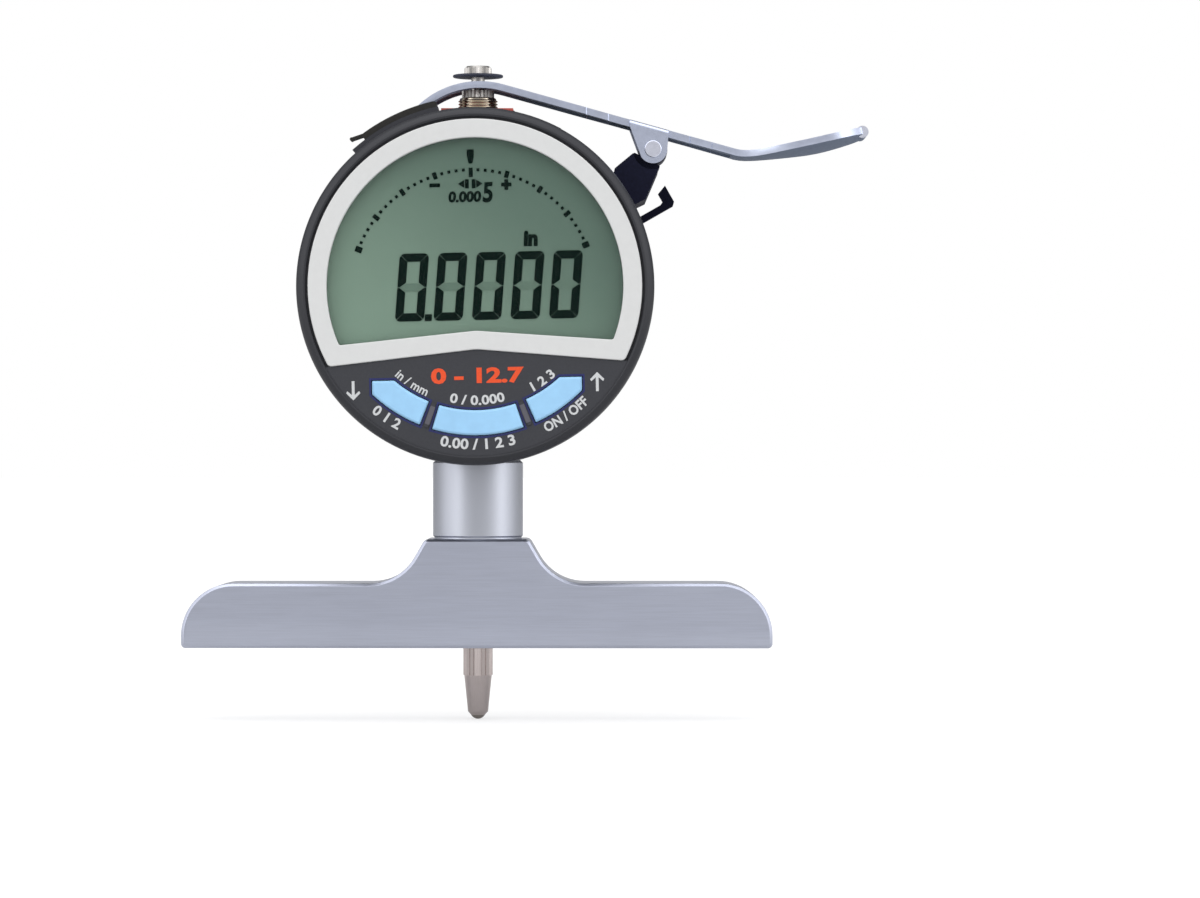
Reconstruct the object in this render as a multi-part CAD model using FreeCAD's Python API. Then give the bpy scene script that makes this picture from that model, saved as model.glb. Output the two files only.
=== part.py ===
import FreeCAD, Part
import math
import os
from FreeCAD import Vector

# A digital depth gauge: a hardened steel base beam with a clamping sleeve, an electronic
# indicator with a round display head, and a lifting lever that raises the spring-loaded spindle.
# The origin is the centre of the base's measuring face, +Z is up along the spindle, and -Y is
# the side that the display faces. All sizes are in millimetres.

# Base beam
BASE_LENGTH = 101.6
BASE_DEPTH = 16.0
BAR_HEIGHT = 11.1
BAR_END_RADIUS = 9.0
HUMP_HEIGHT = 18.7
HUMP_TOP_WIDTH = 17.8
HUMP_FLANK_ANGLE = 60.0
HUMP_FLANK_RADIUS = 9.0
HUMP_CORNER_RADIUS = 1.2
BASE_EDGE_CHAMFER = 0.45
TIP_BORE_RADIUS = 3.2
SPIGOT_RADIUS = 6.2
SPIGOT_DEPTH = 4.0

# Clearances
FIT = 0.03
RUNNING = 0.04
EASE = 0.15
SEAT = 0.05

# Sleeve and stem that join the indicator to the base
SLEEVE_RADIUS = 7.8
SLEEVE_CHAMFER = 0.6
SLEEVE_LENGTH = 13.7
SLEEVE_RELIEF = 0.25
CLAMP_SCREW_RADIUS = 1.5
CLAMP_SCREW_RISE = 6.8
CLAMP_SOCKET_RADIUS = 0.8
CLAMP_SOCKET_DEPTH = 1.4
STEM_RADIUS = 4.76
STEM_BORE_RADIUS = 3.0
STEM_FLANGE_REACH = 2.24
STEM_FLANGE_THICKNESS = 1.2
LOWER_BUSH_LENGTH = 6.0

# Indicator case, a round cup that opens at the back
CASE_RADIUS = 30.0
CASE_FLAT_DEPTH = 0.6
CASE_WALL = 1.8
CASE_FRONT_Y = -10.8
CASE_FRONT_WALL = 2.0
CASE_DEPTH = 18.3
COVER_THICKNESS = 1.5
COVER_CHAMFER = 0.5
STEM_PAD_WALL = 2.74
STEM_PAD_HEIGHT = 3.6
BUSH_PAD_WALL = 3.07
BUSH_PAD_DEPTH = 3.8
BUSH_FLAT_RISE = 0.57
BUSH_FLAT_WIDTH = 13.0
BUSH_FLAT_DEPTH = 12.4
LAND_RISE = 0.85
LAND_ANGLES = (14.8, 28.0)
PORT_LAND_RISE = 1.7
PORT_LAND_ANGLES = (-42.0, -12.0)
PORT_LAND_BACK_Y = -5.3
LAND_FRONT_SETBACK = 0.5
COVER_BOSS_INSET = 0.5
COVER_SCREW_ANGLE = 55.0
COVER_BOSS_RADIUS = 2.4
COVER_SCREW_RADIUS = 0.9
COVER_SCREW_HEAD_RADIUS = 1.7
COVER_SCREW_HEAD_DEPTH = 0.9
COVER_SCREW_LENGTH = 7.0
GASKET_INSET = 0.5
GASKET_WIDTH = 0.8
GASKET_DEPTH = 0.6

# Top guide bush and its sealing plate
BUSH_RADIUS = 3.43
BUSH_RISE = 2.63
BUSH_FLANGE_REACH = 1.57
BUSH_FLANGE_THICKNESS = 1.2
BUSH_GROOVE_DEPTH = 0.3
BUSH_GROOVE_PITCH = 0.55
BUSH_GROOVES = 2
SEAL_PLATE_THICKNESS = 0.5
SEAL_PLATE_WIDTH = 12.4
SEAL_PLATE_DEPTH = 11.4

# Data port under its rubber cap
PORT_ANGLE = -24.4
PORT_LENGTH = 9.8
PORT_WIDTH = 4.0
PORT_INSET = 3.0
PORT_DEPTH = 4.0
PORT_WALL = 0.8
PORT_RECESS_DEPTH = 3.0
CAP_RISE = 1.05
CAP_ANGLES = (-37.0, -12.2)
CAP_WIDTH = 5.0
CAP_TAB_RISE = 0.7
CAP_TAB_LENGTH = 2.75
CAP_TAB_TILT = 19.0
CAP_TAB_THICKNESS = 0.5
CAP_TAB_BEAD_RADIUS = 0.3
CAP_TAB_WIDTH = 3.2

# Battery drawer in the side of the case
CELL_RADIUS = 5.8
CELL_THICKNESS = 5.4
CELL_INSET = 9.5
DRAWER_WALL = 1.0
DRAWER_FLOOR = 0.7
DRAWER_INSET = 1.85
DRAWER_RAIL = 1.0
CONTACT_LEAF_SIZE = 4.0
CONTACT_LEAF_THICKNESS = 0.3

# Display head that turns on the case
HEAD_OVERHANG = 0.4
HEAD_DEPTH = 8.0
HEAD_GAP = 0.2
HEAD_TURN = -1.2
RING_EDGE_RADIUS = 2.0
RING_WALL = 1.5
RING_LEDGE_WIDTH = 1.0
RING_LIP_STEP = 0.15
PANEL_SETBACK = 0.6
PANEL_RAISE = 0.8
PANEL_THICKNESS = 1.0
FRAME_RISE = 0.35
FRAME_GAP = 0.6
FRAME_CORNER_DROP = 13.2
FRAME_PEAK_DROP = 10.75
FRAME_CORNER_RADIUS = 0.9
FRAME_PEAK_RADIUS = 6.0
FRAME_WIDTH = 3.2
WINDOW_CORNER_DROP = 9.6
WINDOW_PEAK_DROP = 7.6
WINDOW_CORNER_RADIUS = 0.5
LENS_SETBACK = 0.45
LCD_THICKNESS = 1.6
LCD_MARGIN = 1.5
LCD_BOTTOM_DROP = 12.4
BOARD_THICKNESS = 1.0
BOARD_SPACE = 1.4
BOARD_EDGE_GAP = 1.3
BOARD_HOLE_RADIUS = 3.75
CONTACT_STRIP_WIDTH = 1.6
CONTACT_STRIP_DROP = 10.6
CONTACT_STRIP_LENGTH = 40.0
TOP_STRIP_LENGTH = 20.0
CHIP_SIZE = 10.0
HEAD_PLATE_GAP = 0.2
HUB_RADIUS = 15.9
HUB_WALL = 3.4
HUB_RING_REACH = 2.6
HUB_RING_THICKNESS = 0.8
HEAD_SEAL_INSET = 1.1
HEAD_SEAL_WIDTH = 1.0
HEAD_SEAL_DEPTH = 0.6
HEAD_SCREW_INSET = 3.3
HEAD_SCREW_RADIUS = 0.8
HEAD_SCREW_HEAD_RADIUS = 1.5
HEAD_SCREW_HEAD_DEPTH = 0.6
HEAD_SCREWS = 3

# Buttons, laid out on a band under the display; angles run from straight down
BUTTON_INSET = 3.6
BUTTON_BAND = 4.25
CENTRE_BUTTON_ANGLE = 17.85
SIDE_BUTTON_ANGLE = 22.9
SIDE_BUTTON_REACH = 17.75
SIDE_BUTTON_TOP_DROP = 15.75
BUTTON_RISE = 0.4
BUTTON_EDGE_CHAMFER = 0.3
BUTTON_GAP = 0.14
BUTTON_FLANGE = 0.5
BUTTON_FLANGE_THICKNESS = 0.4
BUTTON_TRAVEL = 0.4
RIB_ANGLE = 20.35
RIB_WIDTH = 0.7
RIB_RISE = 0.3
PAD_DOME_RADIUS = 1.2
PAD_DOME_RISE = 0.5

# Spindle and what rides on it
SPINDLE_TRAVEL = 12.7
SPINDLE_RADIUS = 2.24
SPINDLE_LOW_Z = 1.8
TIP_Z = -12.6
TIP_RADIUS = 2.55
TIP_FLUTES = 18
TIP_FLUTE_DEPTH = 0.28
TIP_CONE_TOP_Z = -5.0
TIP_CONE_LOW_Z = -11.3
TIP_CONE_LOW_RADIUS = 1.75
TIP_BALL_RADIUS = 1.4
TIP_STUD_RADIUS = 1.25
TIP_STUD_LENGTH = 5.0
COLLAR_RADIUS = 2.8
COLLAR_HEIGHT = 1.2
KNURL_DEPTH = 0.22
COLLAR_TEETH = 26
SCREW_NECK_RADIUS = 1.15
SCREW_NECK_DEPTH = 3.5
WASHER_RADIUS = 4.35
WASHER_THICKNESS = 0.45
SCREW_HEAD_RADIUS = 2.35
SCREW_HEAD_HEIGHT = 1.5
SCREW_HEAD_TEETH = 20
SCALE_BLOCK_DROP = 9.8
SCALE_BLOCK_HEIGHT = 10.0
SCALE_BLOCK_WIDTH = 8.0
SCALE_BLOCK_FRONT_Y = -3.4
SCALE_FRONT_Y = 3.6
SCALE_THICKNESS = 0.8
SCALE_WIDTH = 6.0
SCALE_OVERHANG = 9.0
SCALE_LENGTH = 24.0
GUIDE_PIN_RADIUS = 0.98
SPRING_GAP = 0.76
SPRING_WIRE = 0.45
SPRING_TURNS = 5

# Inner frame
FRAME_PLATE_WIDTH = 16.0
FRAME_PLATE_THICKNESS = 1.4
FRAME_FOOT_THICKNESS = 2.0
FRAME_FOOT_FRONT_Y = -4.5
DETECTOR_GAP = 0.3
DETECTOR_THICKNESS = 1.2
DETECTOR_WIDTH = 12.0
DETECTOR_FOOT_GAP = 5.4
RAIL_INNER_X = 5.6
RAIL_THICKNESS = 2.4
RAIL_FRONT_Y = -3.0
RAIL_FOOT_GAP = 2.4
RAIL_END = 4.0

# Lifting lever, a pressed strip with a forked arch, two ears and a thumb pad
PIVOT_OVERHANG = 0.3
PIVOT_DROP = 11.75
ARCH_X = 0.4
FORK_PLAY_BELOW = 0.55
FORK_PLAY_ABOVE = 1.0
ARCH_RADIUS = 15.5
ARCH_END_ANGLE = 46.0
LEVER_SLOPE = 15.5
LEVER_HALF_WIDTH = 5.0
LEVER_WEB = 0.8
LEVER_LIP = 1.2
FORK_SLOT_HALF_WIDTH = 1.5
FORK_SLOT_END_X = 2.2
PAD_BEND_REACH = 13.7
PAD_BEND_RADIUS = 11.0
PAD_START_SLOPE = 10.0
PAD_RADIUS = 200.0
PAD_END_SLOPE = 15.1
PAD_HALF_WIDTH = 8.0
PAD_TIP_HALF_WIDTH = 4.2
PAD_THICKNESS = 1.2
PAD_DISH = 1.15
PAD_STATIONS = 9
PAD_BEAD_RADIUS = 1.05
PAD_BEAD_RISE = 0.2
EAR_INNER_Y = 4.9
EAR_THICKNESS = 0.8
EAR_RADIUS = 2.46
EAR_LEFT = 4.0
EAR_RIGHT = 2.7
EAR_BEND_RADIUS = 0.75
EAR_RELIEF = 3.6
EAR_RELIEF_DEPTH = 0.45
EAR_SHOULDER = 3.8
EAR_SHOULDER_DEPTH = 0.15
RIVET_RADIUS = 1.1
RIVET_HEAD_RADIUS = 1.45
RIVET_HEAD_HEIGHT = 0.3

# Lever bracket behind the case
BRACKET_LUG_HALF_WIDTH = 3.9
BRACKET_LUG_RADIUS = 2.5
BRACKET_ARM_HALF_WIDTH = 5.6
BRACKET_EAR_RECESS_RADIUS = 3.5
BRACKET_PLATE_THICKNESS = 1.7
BRACKET_CASE_GAP = 0.3
ARM_NECK_LEFT = 3.2
ARM_NECK_RIGHT = 1.2
ARM_NECK_DROP = 2.8
ARM_SHOULDER_DROP = 0.5
ARM_ELBOW_REACH = 6.6
ARM_ELBOW_DROP = 3.3
ARM_HEEL_REACH = 7.4
ARM_HEEL_DROP = 6.6
ARM_TOE_REACH = 3.4
ARM_TOE_DROP = 9.65
ARM_WAIST_REACH = 1.3
ARM_WAIST_DROP = 8.65
STRAP_ANGLE = 45.0
STRAP_START = 2.0
STRAP_SIDE_START = 14.0
STRAP_OFFSET = 3.4
STRAP_HALF_WIDTH = 4.4
STRAP_SCREW_NEAR = 17.1
STRAP_SCREW_FAR = 23.3
HOOK_PLACE_ANGLE = 67.0
HOOK_PLACE_RISE = 2.3
HOOK_TILT = 29.6
HOOK_ROOT = 5.0
HOOK_LENGTH = 5.45
HOOK_HEIGHT = 3.85
HOOK_STRIP = 1.25
HOOK_CLAW = 1.8
HOOK_CORNER = 0.6
HOOK_TIP_BEVEL = 0.7
BRACKET_SCREW_RADIUS = 1.0
BRACKET_SCREW_HEAD_RADIUS = 1.9
BRACKET_SCREW_HEAD_HEIGHT = 1.2
BRACKET_SCREW_LENGTH = 4.0
SCREW_SLOT_WIDTH = 0.5
SCREW_SLOT_DEPTH = 0.5

X_AXIS = Vector(1, 0, 0)
Y_AXIS = Vector(0, 1, 0)
Z_AXIS = Vector(0, 0, 1)

# Base, sleeve and case heights
SLEEVE_TOP_Z = HUMP_HEIGHT + SLEEVE_LENGTH
CLAMP_SCREW_Z = HUMP_HEIGHT + CLAMP_SCREW_RISE
SPIGOT_LOW_Z = HUMP_HEIGHT - SPIGOT_DEPTH
STEM_LOW_Z = SPIGOT_LOW_Z + SEAT
STEM_PAD_TOP_Z = SLEEVE_TOP_Z + STEM_PAD_HEIGHT
STEM_FLANGE_TOP_Z = STEM_PAD_TOP_Z + STEM_FLANGE_THICKNESS
DIAL_Z = SLEEVE_TOP_Z - CASE_FLAT_DEPTH + CASE_RADIUS
DIAL = Vector(0, 0, DIAL_Z)

# Case sizes
CASE_BORE = CASE_RADIUS - CASE_WALL
CASE_INNER_Y = CASE_FRONT_Y + CASE_FRONT_WALL
CASE_BACK_Y = CASE_FRONT_Y + CASE_DEPTH
COVER_BACK_Y = CASE_BACK_Y + COVER_THICKNESS
COVER_SCREW_CIRCLE = CASE_BORE - COVER_BOSS_INSET - COVER_BOSS_RADIUS
STEM_PAD_RADIUS = STEM_RADIUS + STEM_PAD_WALL
STEM_FLANGE_RADIUS = STEM_RADIUS + STEM_FLANGE_REACH
BUSH_PAD_RADIUS = BUSH_RADIUS + BUSH_PAD_WALL
BUSH_FLANGE_RADIUS = BUSH_RADIUS + BUSH_FLANGE_REACH
BUSH_FLAT_Z = DIAL_Z + CASE_RADIUS + BUSH_FLAT_RISE
BUSH_TOP_Z = BUSH_FLAT_Z + BUSH_RISE
BUSH_PAD_LOW_Z = DIAL_Z + CASE_BORE - BUSH_PAD_DEPTH
BUSH_FLANGE_LOW_Z = BUSH_PAD_LOW_Z - BUSH_FLANGE_THICKNESS
PORT_Y = CASE_FRONT_Y + PORT_INSET
PORT_INNER_RADIUS = CASE_RADIUS - PORT_DEPTH
CELL_X = CELL_INSET - CASE_RADIUS
DRAWER_BACK_Y = CASE_BACK_Y - DRAWER_INSET
DRAWER_FRONT_Y = DRAWER_BACK_Y - DRAWER_FLOOR - CELL_THICKNESS - SEAT
DRAWER_HALF_HEIGHT = CELL_RADIUS + SEAT + DRAWER_WALL
DRAWER_INNER_X = CELL_X + CELL_RADIUS + SEAT + DRAWER_WALL

# Head sizes, from its back to its front and from its rim inwards
HEAD_RADIUS = CASE_RADIUS + HEAD_OVERHANG
HEAD_BACK_Y = CASE_FRONT_Y - HEAD_GAP
HEAD_FRONT_Y = HEAD_BACK_Y - HEAD_DEPTH
PANEL_FRONT_Y = HEAD_FRONT_Y + PANEL_SETBACK
PANEL_DISC_FRONT_Y = PANEL_FRONT_Y + PANEL_RAISE
PANEL_DISC_BACK_Y = PANEL_DISC_FRONT_Y + PANEL_THICKNESS
FRAME_FRONT_Y = PANEL_FRONT_Y - FRAME_RISE
LENS_FRONT_Y = FRAME_FRONT_Y + LENS_SETBACK
BUTTON_FRONT_Y = PANEL_FRONT_Y - BUTTON_RISE
BUTTON_FLANGE_BACK_Y = PANEL_DISC_BACK_Y + BUTTON_FLANGE_THICKNESS
LCD_FRONT_Y = PANEL_DISC_BACK_Y
LCD_BACK_Y = LCD_FRONT_Y + LCD_THICKNESS
BOARD_FRONT_Y = LCD_BACK_Y + BOARD_SPACE
BOARD_BACK_Y = BOARD_FRONT_Y + BOARD_THICKNESS
HEAD_PLATE_FRONT_Y = BOARD_BACK_Y + HEAD_PLATE_GAP
HUB_RING_FRONT_Y = CASE_INNER_Y + HEAD_GAP / 2
HUB_END_Y = HUB_RING_FRONT_Y + HUB_RING_THICKNESS
RING_LIP_RADIUS = HEAD_RADIUS - RING_WALL
RING_LEDGE_RADIUS = RING_LIP_RADIUS - RING_LEDGE_WIDTH
FRAME_RADIUS = RING_LIP_RADIUS - FRAME_GAP
WINDOW_RADIUS = FRAME_RADIUS - FRAME_WIDTH
BUTTON_OUTER_RADIUS = RING_LIP_RADIUS - BUTTON_INSET
BUTTON_INNER_RADIUS = BUTTON_OUTER_RADIUS - BUTTON_BAND
BOARD_RADIUS = RING_LEDGE_RADIUS - BOARD_EDGE_GAP
HEAD_SEAL_RADIUS = RING_LEDGE_RADIUS - HEAD_SEAL_INSET
HEAD_SCREW_CIRCLE = HEAD_SEAL_RADIUS - HEAD_SEAL_WIDTH - HEAD_SCREW_INSET
HUB_BORE_RADIUS = HUB_RADIUS - HUB_WALL
HUB_RING_RADIUS = HUB_RADIUS + HUB_RING_REACH

# Measuring parts
SCALE_BLOCK_LOW_Z = DIAL_Z - SCALE_BLOCK_DROP
SCALE_BLOCK_TOP_Z = SCALE_BLOCK_LOW_Z + SCALE_BLOCK_HEIGHT
SCALE_LOW_Z = SCALE_BLOCK_LOW_Z - SCALE_OVERHANG
GUIDE_PIN_Z = (SCALE_BLOCK_LOW_Z + SCALE_BLOCK_TOP_Z) / 2
RAIL_OUTER_X = RAIL_INNER_X + RAIL_THICKNESS
SPRING_RADIUS = SPINDLE_RADIUS + SPRING_GAP
FRAME_LOW_Z = STEM_FLANGE_TOP_Z + FRAME_FOOT_THICKNESS
FRAME_HIGH_Z = BUSH_FLANGE_LOW_Z - FRAME_FOOT_THICKNESS
DETECTOR_FRONT_Y = SCALE_FRONT_Y + SCALE_THICKNESS + DETECTOR_GAP
FRAME_WEB_Y = DETECTOR_FRONT_Y + DETECTOR_THICKNESS

# Lift parts, from the bush upwards
COLLAR_LOW_Z = BUSH_TOP_Z + SEAT
COLLAR_TOP_Z = COLLAR_LOW_Z + COLLAR_HEIGHT
ARCH_TOP_Z = COLLAR_TOP_Z + FORK_PLAY_BELOW + LEVER_WEB
WASHER_Z = ARCH_TOP_Z + FORK_PLAY_ABOVE
PIVOT_X = CASE_RADIUS + PIVOT_OVERHANG
PIVOT_Z = ARCH_TOP_Z - PIVOT_DROP
PAD_BEND_X = PIVOT_X + PAD_BEND_REACH
BRACKET_BACK_Y = COVER_BACK_Y + BRACKET_PLATE_THICKNESS


class Outline:
    """A closed outline drawn edge by edge, in the X-Z plane or, for turned pieces, as radius and axis."""

    def __init__(self, a, b, plane="XZ"):
        self.plane = plane
        self.first = self.last = (a, b)
        self.edges = []

    def point(self, a, b):
        return Vector(a, b, 0) if self.plane == "XY" else Vector(a, 0, b)

    def line(self, a, b):
        if math.dist(self.last, (a, b)) > 1e-7:
            self.edges.append(Part.LineSegment(self.point(*self.last), self.point(a, b)).toShape())
        self.last = (a, b)
        return self

    def arc(self, middle, end):
        curve = Part.Arc(self.point(*self.last), self.point(*middle), self.point(*end))
        self.edges.append(curve.toShape())
        self.last = end
        return self

    def face(self):
        self.line(*self.first)
        return Part.Face(Part.Wire(self.edges))

    def extrude(self, front_y, back_y):
        """The outline as a slab between two depths."""
        solid = self.face().extrude(Vector(0, back_y - front_y, 0))
        solid.translate(Vector(0, front_y, 0))
        return solid

    def turn(self):
        """The outline turned about its second axis: Z for an X-Z outline and Y for an X-Y one."""
        return self.face().revolve(Vector(0, 0, 0), Y_AXIS if self.plane == "XY" else Z_AXIS, 360)


def y_cylinder(radius, front_y, back_y, x=0.0, z=0.0):
    return Part.makeCylinder(radius, back_y - front_y, Vector(x, front_y, z), Y_AXIS)


def z_cylinder(radius, low_z, high_z, x=0.0, y=0.0):
    return Part.makeCylinder(radius, high_z - low_z, Vector(x, y, low_z), Z_AXIS)


def block(x0, x1, y0, y1, z0, z1):
    return Part.makeBox(x1 - x0, y1 - y0, z1 - z0, Vector(x0, y0, z0))


def polygon(points, front_y, back_y):
    outline = Outline(*points[0])
    for point in points[1:]:
        outline.line(*point)
    return outline.extrude(front_y, back_y)


def turned_about_z(points):
    outline = Outline(*points[0])
    for point in points[1:]:
        outline.line(*point)
    return outline.turn()


def toothed(radius, depth, teeth, low_z, high_z):
    """A straight-knurled or fluted round piece on the Z axis."""
    corners = []
    for i in range(2 * teeth):
        reach = radius if i % 2 == 0 else radius - depth
        angle = math.pi * i / teeth
        corners.append(Vector(reach * math.cos(angle), reach * math.sin(angle), low_z))
    face = Part.Face(Part.makePolygon(corners + corners[:1]))
    return face.extrude(Vector(0, 0, high_z - low_z))


def edges_near(shape, test):
    return [edge for edge in shape.Edges if test(edge)]


def is_round_edge(edge):
    return len(edge.Vertexes) == 1


def runs_along_y(edge):
    ends = [vertex.Point for vertex in edge.Vertexes]
    return len(ends) == 2 and (ends[1] - ends[0]).cross(Y_AXIS).Length < 1e-6


def band(inner, outer, start, end, front_y, back_y, centre=DIAL):
    """Part of a ring about a centre; angles run clockwise from straight up, seen from the front."""

    def at(radius, angle):
        turn = math.radians(angle)
        return (centre.x + radius * math.sin(turn), centre.z + radius * math.cos(turn))

    middle = (start + end) / 2
    outline = Outline(*at(inner, start))
    outline.line(*at(outer, start))
    outline.arc(at(outer, middle), at(outer, end))
    outline.line(*at(inner, end))
    outline.arc(at(inner, middle), at(inner, start))
    return outline.extrude(front_y, back_y)


def on_dial(shape):
    """Moves a head piece, drawn about the Y axis, to the dial's centre and its stored turn."""
    shape.rotate(Vector(0, 0, 0), Y_AXIS, HEAD_TURN)
    shape.translate(DIAL)
    return shape


# Base beam


def base_profile():
    half = BASE_LENGTH / 2
    flank = math.radians(HUMP_FLANK_ANGLE)
    arc_rise = HUMP_FLANK_RADIUS * (1 - math.cos(flank))
    slope_run = (HUMP_HEIGHT - BAR_HEIGHT - arc_rise) / math.tan(flank)
    slope_foot = HUMP_TOP_WIDTH / 2 + slope_run
    arc_foot = slope_foot + HUMP_FLANK_RADIUS * math.sin(flank)
    arc_mid_x = arc_foot - HUMP_FLANK_RADIUS * math.sin(flank / 2)
    arc_mid_z = BAR_HEIGHT + HUMP_FLANK_RADIUS * (1 - math.cos(flank / 2))
    corner = BAR_END_RADIUS * (1 - math.sqrt(0.5))
    outline = Outline(-half, 0)
    outline.line(half, 0)
    outline.line(half, BAR_HEIGHT - BAR_END_RADIUS)
    outline.arc((half - corner, BAR_HEIGHT - corner), (half - BAR_END_RADIUS, BAR_HEIGHT))
    outline.line(arc_foot, BAR_HEIGHT)
    outline.arc((arc_mid_x, arc_mid_z), (slope_foot, BAR_HEIGHT + arc_rise))
    outline.line(HUMP_TOP_WIDTH / 2, HUMP_HEIGHT)
    outline.line(-HUMP_TOP_WIDTH / 2, HUMP_HEIGHT)
    outline.line(-slope_foot, BAR_HEIGHT + arc_rise)
    outline.arc((-arc_mid_x, arc_mid_z), (-arc_foot, BAR_HEIGHT))
    outline.line(-half + BAR_END_RADIUS, BAR_HEIGHT)
    outline.arc((-half + corner, BAR_HEIGHT - corner), (-half, BAR_HEIGHT - BAR_END_RADIUS))
    return outline


def base_beam():
    beam = base_profile().extrude(-BASE_DEPTH / 2, BASE_DEPTH / 2)
    hump_corners = edges_near(
        beam,
        lambda e: runs_along_y(e) and abs(e.CenterOfMass.z - HUMP_HEIGHT) < 0.01,
    )
    beam = beam.makeFillet(HUMP_CORNER_RADIUS, hump_corners)
    profile_edges = edges_near(beam, lambda e: abs(abs(e.CenterOfMass.y) - BASE_DEPTH / 2) < 0.01)
    beam = beam.makeChamfer(BASE_EDGE_CHAMFER, profile_edges)
    beam = beam.cut(z_cylinder(TIP_BORE_RADIUS, -1, HUMP_HEIGHT + 1))
    return beam.cut(z_cylinder(SPIGOT_RADIUS, SPIGOT_LOW_Z, HUMP_HEIGHT + 1))


# Sleeve, stem and clamp screw


def holder_sleeve():
    bore = STEM_RADIUS + FIT
    spigot = SPIGOT_RADIUS - FIT
    low = HUMP_HEIGHT
    sleeve = turned_about_z(
        [
            (bore, SPIGOT_LOW_Z),
            (spigot, SPIGOT_LOW_Z),
            (spigot, low),
            (SLEEVE_RADIUS - SLEEVE_RELIEF, low),
            (SLEEVE_RADIUS - SLEEVE_RELIEF, low + SLEEVE_RELIEF),
            (SLEEVE_RADIUS, low + 2 * SLEEVE_RELIEF),
            (SLEEVE_RADIUS, SLEEVE_TOP_Z - SLEEVE_CHAMFER),
            (SLEEVE_RADIUS - SLEEVE_CHAMFER, SLEEVE_TOP_Z),
            (bore, SLEEVE_TOP_Z),
        ]
    )
    return sleeve.cut(y_cylinder(CLAMP_SCREW_RADIUS, 0, SLEEVE_RADIUS + 1, 0, CLAMP_SCREW_Z))


def clamp_screw():
    inner_y = STEM_RADIUS + FIT
    outer_y = SLEEVE_RADIUS - SLEEVE_RELIEF
    screw = y_cylinder(CLAMP_SCREW_RADIUS - FIT, inner_y, outer_y, 0, CLAMP_SCREW_Z)
    socket = Part.makePolygon(
        [
            Vector(
                CLAMP_SOCKET_RADIUS * math.cos(math.radians(60 * i)),
                outer_y - CLAMP_SOCKET_DEPTH,
                CLAMP_SCREW_Z + CLAMP_SOCKET_RADIUS * math.sin(math.radians(60 * i)),
            )
            for i in range(7)
        ]
    )
    return screw.cut(Part.Face(socket).extrude(Vector(0, CLAMP_SOCKET_DEPTH + 1, 0)))


def stem():
    return turned_about_z(
        [
            (STEM_BORE_RADIUS, STEM_LOW_Z),
            (STEM_RADIUS, STEM_LOW_Z),
            (STEM_RADIUS, STEM_PAD_TOP_Z),
            (STEM_FLANGE_RADIUS, STEM_PAD_TOP_Z),
            (STEM_FLANGE_RADIUS, STEM_FLANGE_TOP_Z),
            (STEM_BORE_RADIUS, STEM_FLANGE_TOP_Z),
        ]
    )


def lower_bush():
    bore = SPINDLE_RADIUS + RUNNING
    top = STEM_LOW_Z + LOWER_BUSH_LENGTH
    return turned_about_z(
        [
            (bore, STEM_LOW_Z),
            (STEM_BORE_RADIUS, STEM_LOW_Z),
            (STEM_BORE_RADIUS, top),
            (bore, top),
        ]
    )


# Case and rear cover


def cover_screw_places():
    rise = COVER_SCREW_CIRCLE * math.sin(math.radians(COVER_SCREW_ANGLE))
    run = COVER_SCREW_CIRCLE * math.cos(math.radians(COVER_SCREW_ANGLE))
    return [(sx * run, DIAL_Z + sz * rise) for sx in (-1, 1) for sz in (-1, 1)]


def at_port(shape):
    """Moves a port piece, drawn upright over the dial's centre, to the port's place on the rim."""
    shape.translate(Vector(0, PORT_Y, 0))
    shape.rotate(Vector(0, 0, 0), Y_AXIS, PORT_ANGLE)
    shape.translate(DIAL)
    return shape


def port_block(length, width, inner, outer):
    return block(-length / 2, length / 2, -width / 2, width / 2, inner, outer)


def case_outside():
    body = y_cylinder(CASE_RADIUS, CASE_FRONT_Y, CASE_BACK_Y, 0, DIAL_Z)
    front = CASE_FRONT_Y + LAND_FRONT_SETBACK
    core = CASE_RADIUS - CASE_WALL / 2
    land = band(core, CASE_RADIUS + LAND_RISE, *LAND_ANGLES, front, CASE_BACK_Y)
    port_land = band(
        core, CASE_RADIUS + PORT_LAND_RISE, *PORT_LAND_ANGLES, front, PORT_LAND_BACK_Y
    )
    half = BUSH_FLAT_WIDTH / 2
    half_depth = BUSH_FLAT_DEPTH / 2
    bush_seat = block(-half, half, -half_depth, half_depth, DIAL_Z + core * 0.9, BUSH_FLAT_Z)
    body = body.fuse([land, port_land, bush_seat])
    sleeve_flat = block(
        -CASE_RADIUS, CASE_RADIUS, -CASE_RADIUS, CASE_RADIUS, 0, SLEEVE_TOP_Z
    )
    return body.cut(sleeve_flat)


def drawer_space(grow):
    return block(
        -CASE_RADIUS - LAND_RISE,
        DRAWER_INNER_X + grow,
        DRAWER_FRONT_Y - grow,
        DRAWER_BACK_Y + grow,
        DIAL_Z - DRAWER_HALF_HEIGHT - grow,
        DIAL_Z + DRAWER_HALF_HEIGHT + grow,
    )


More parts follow.
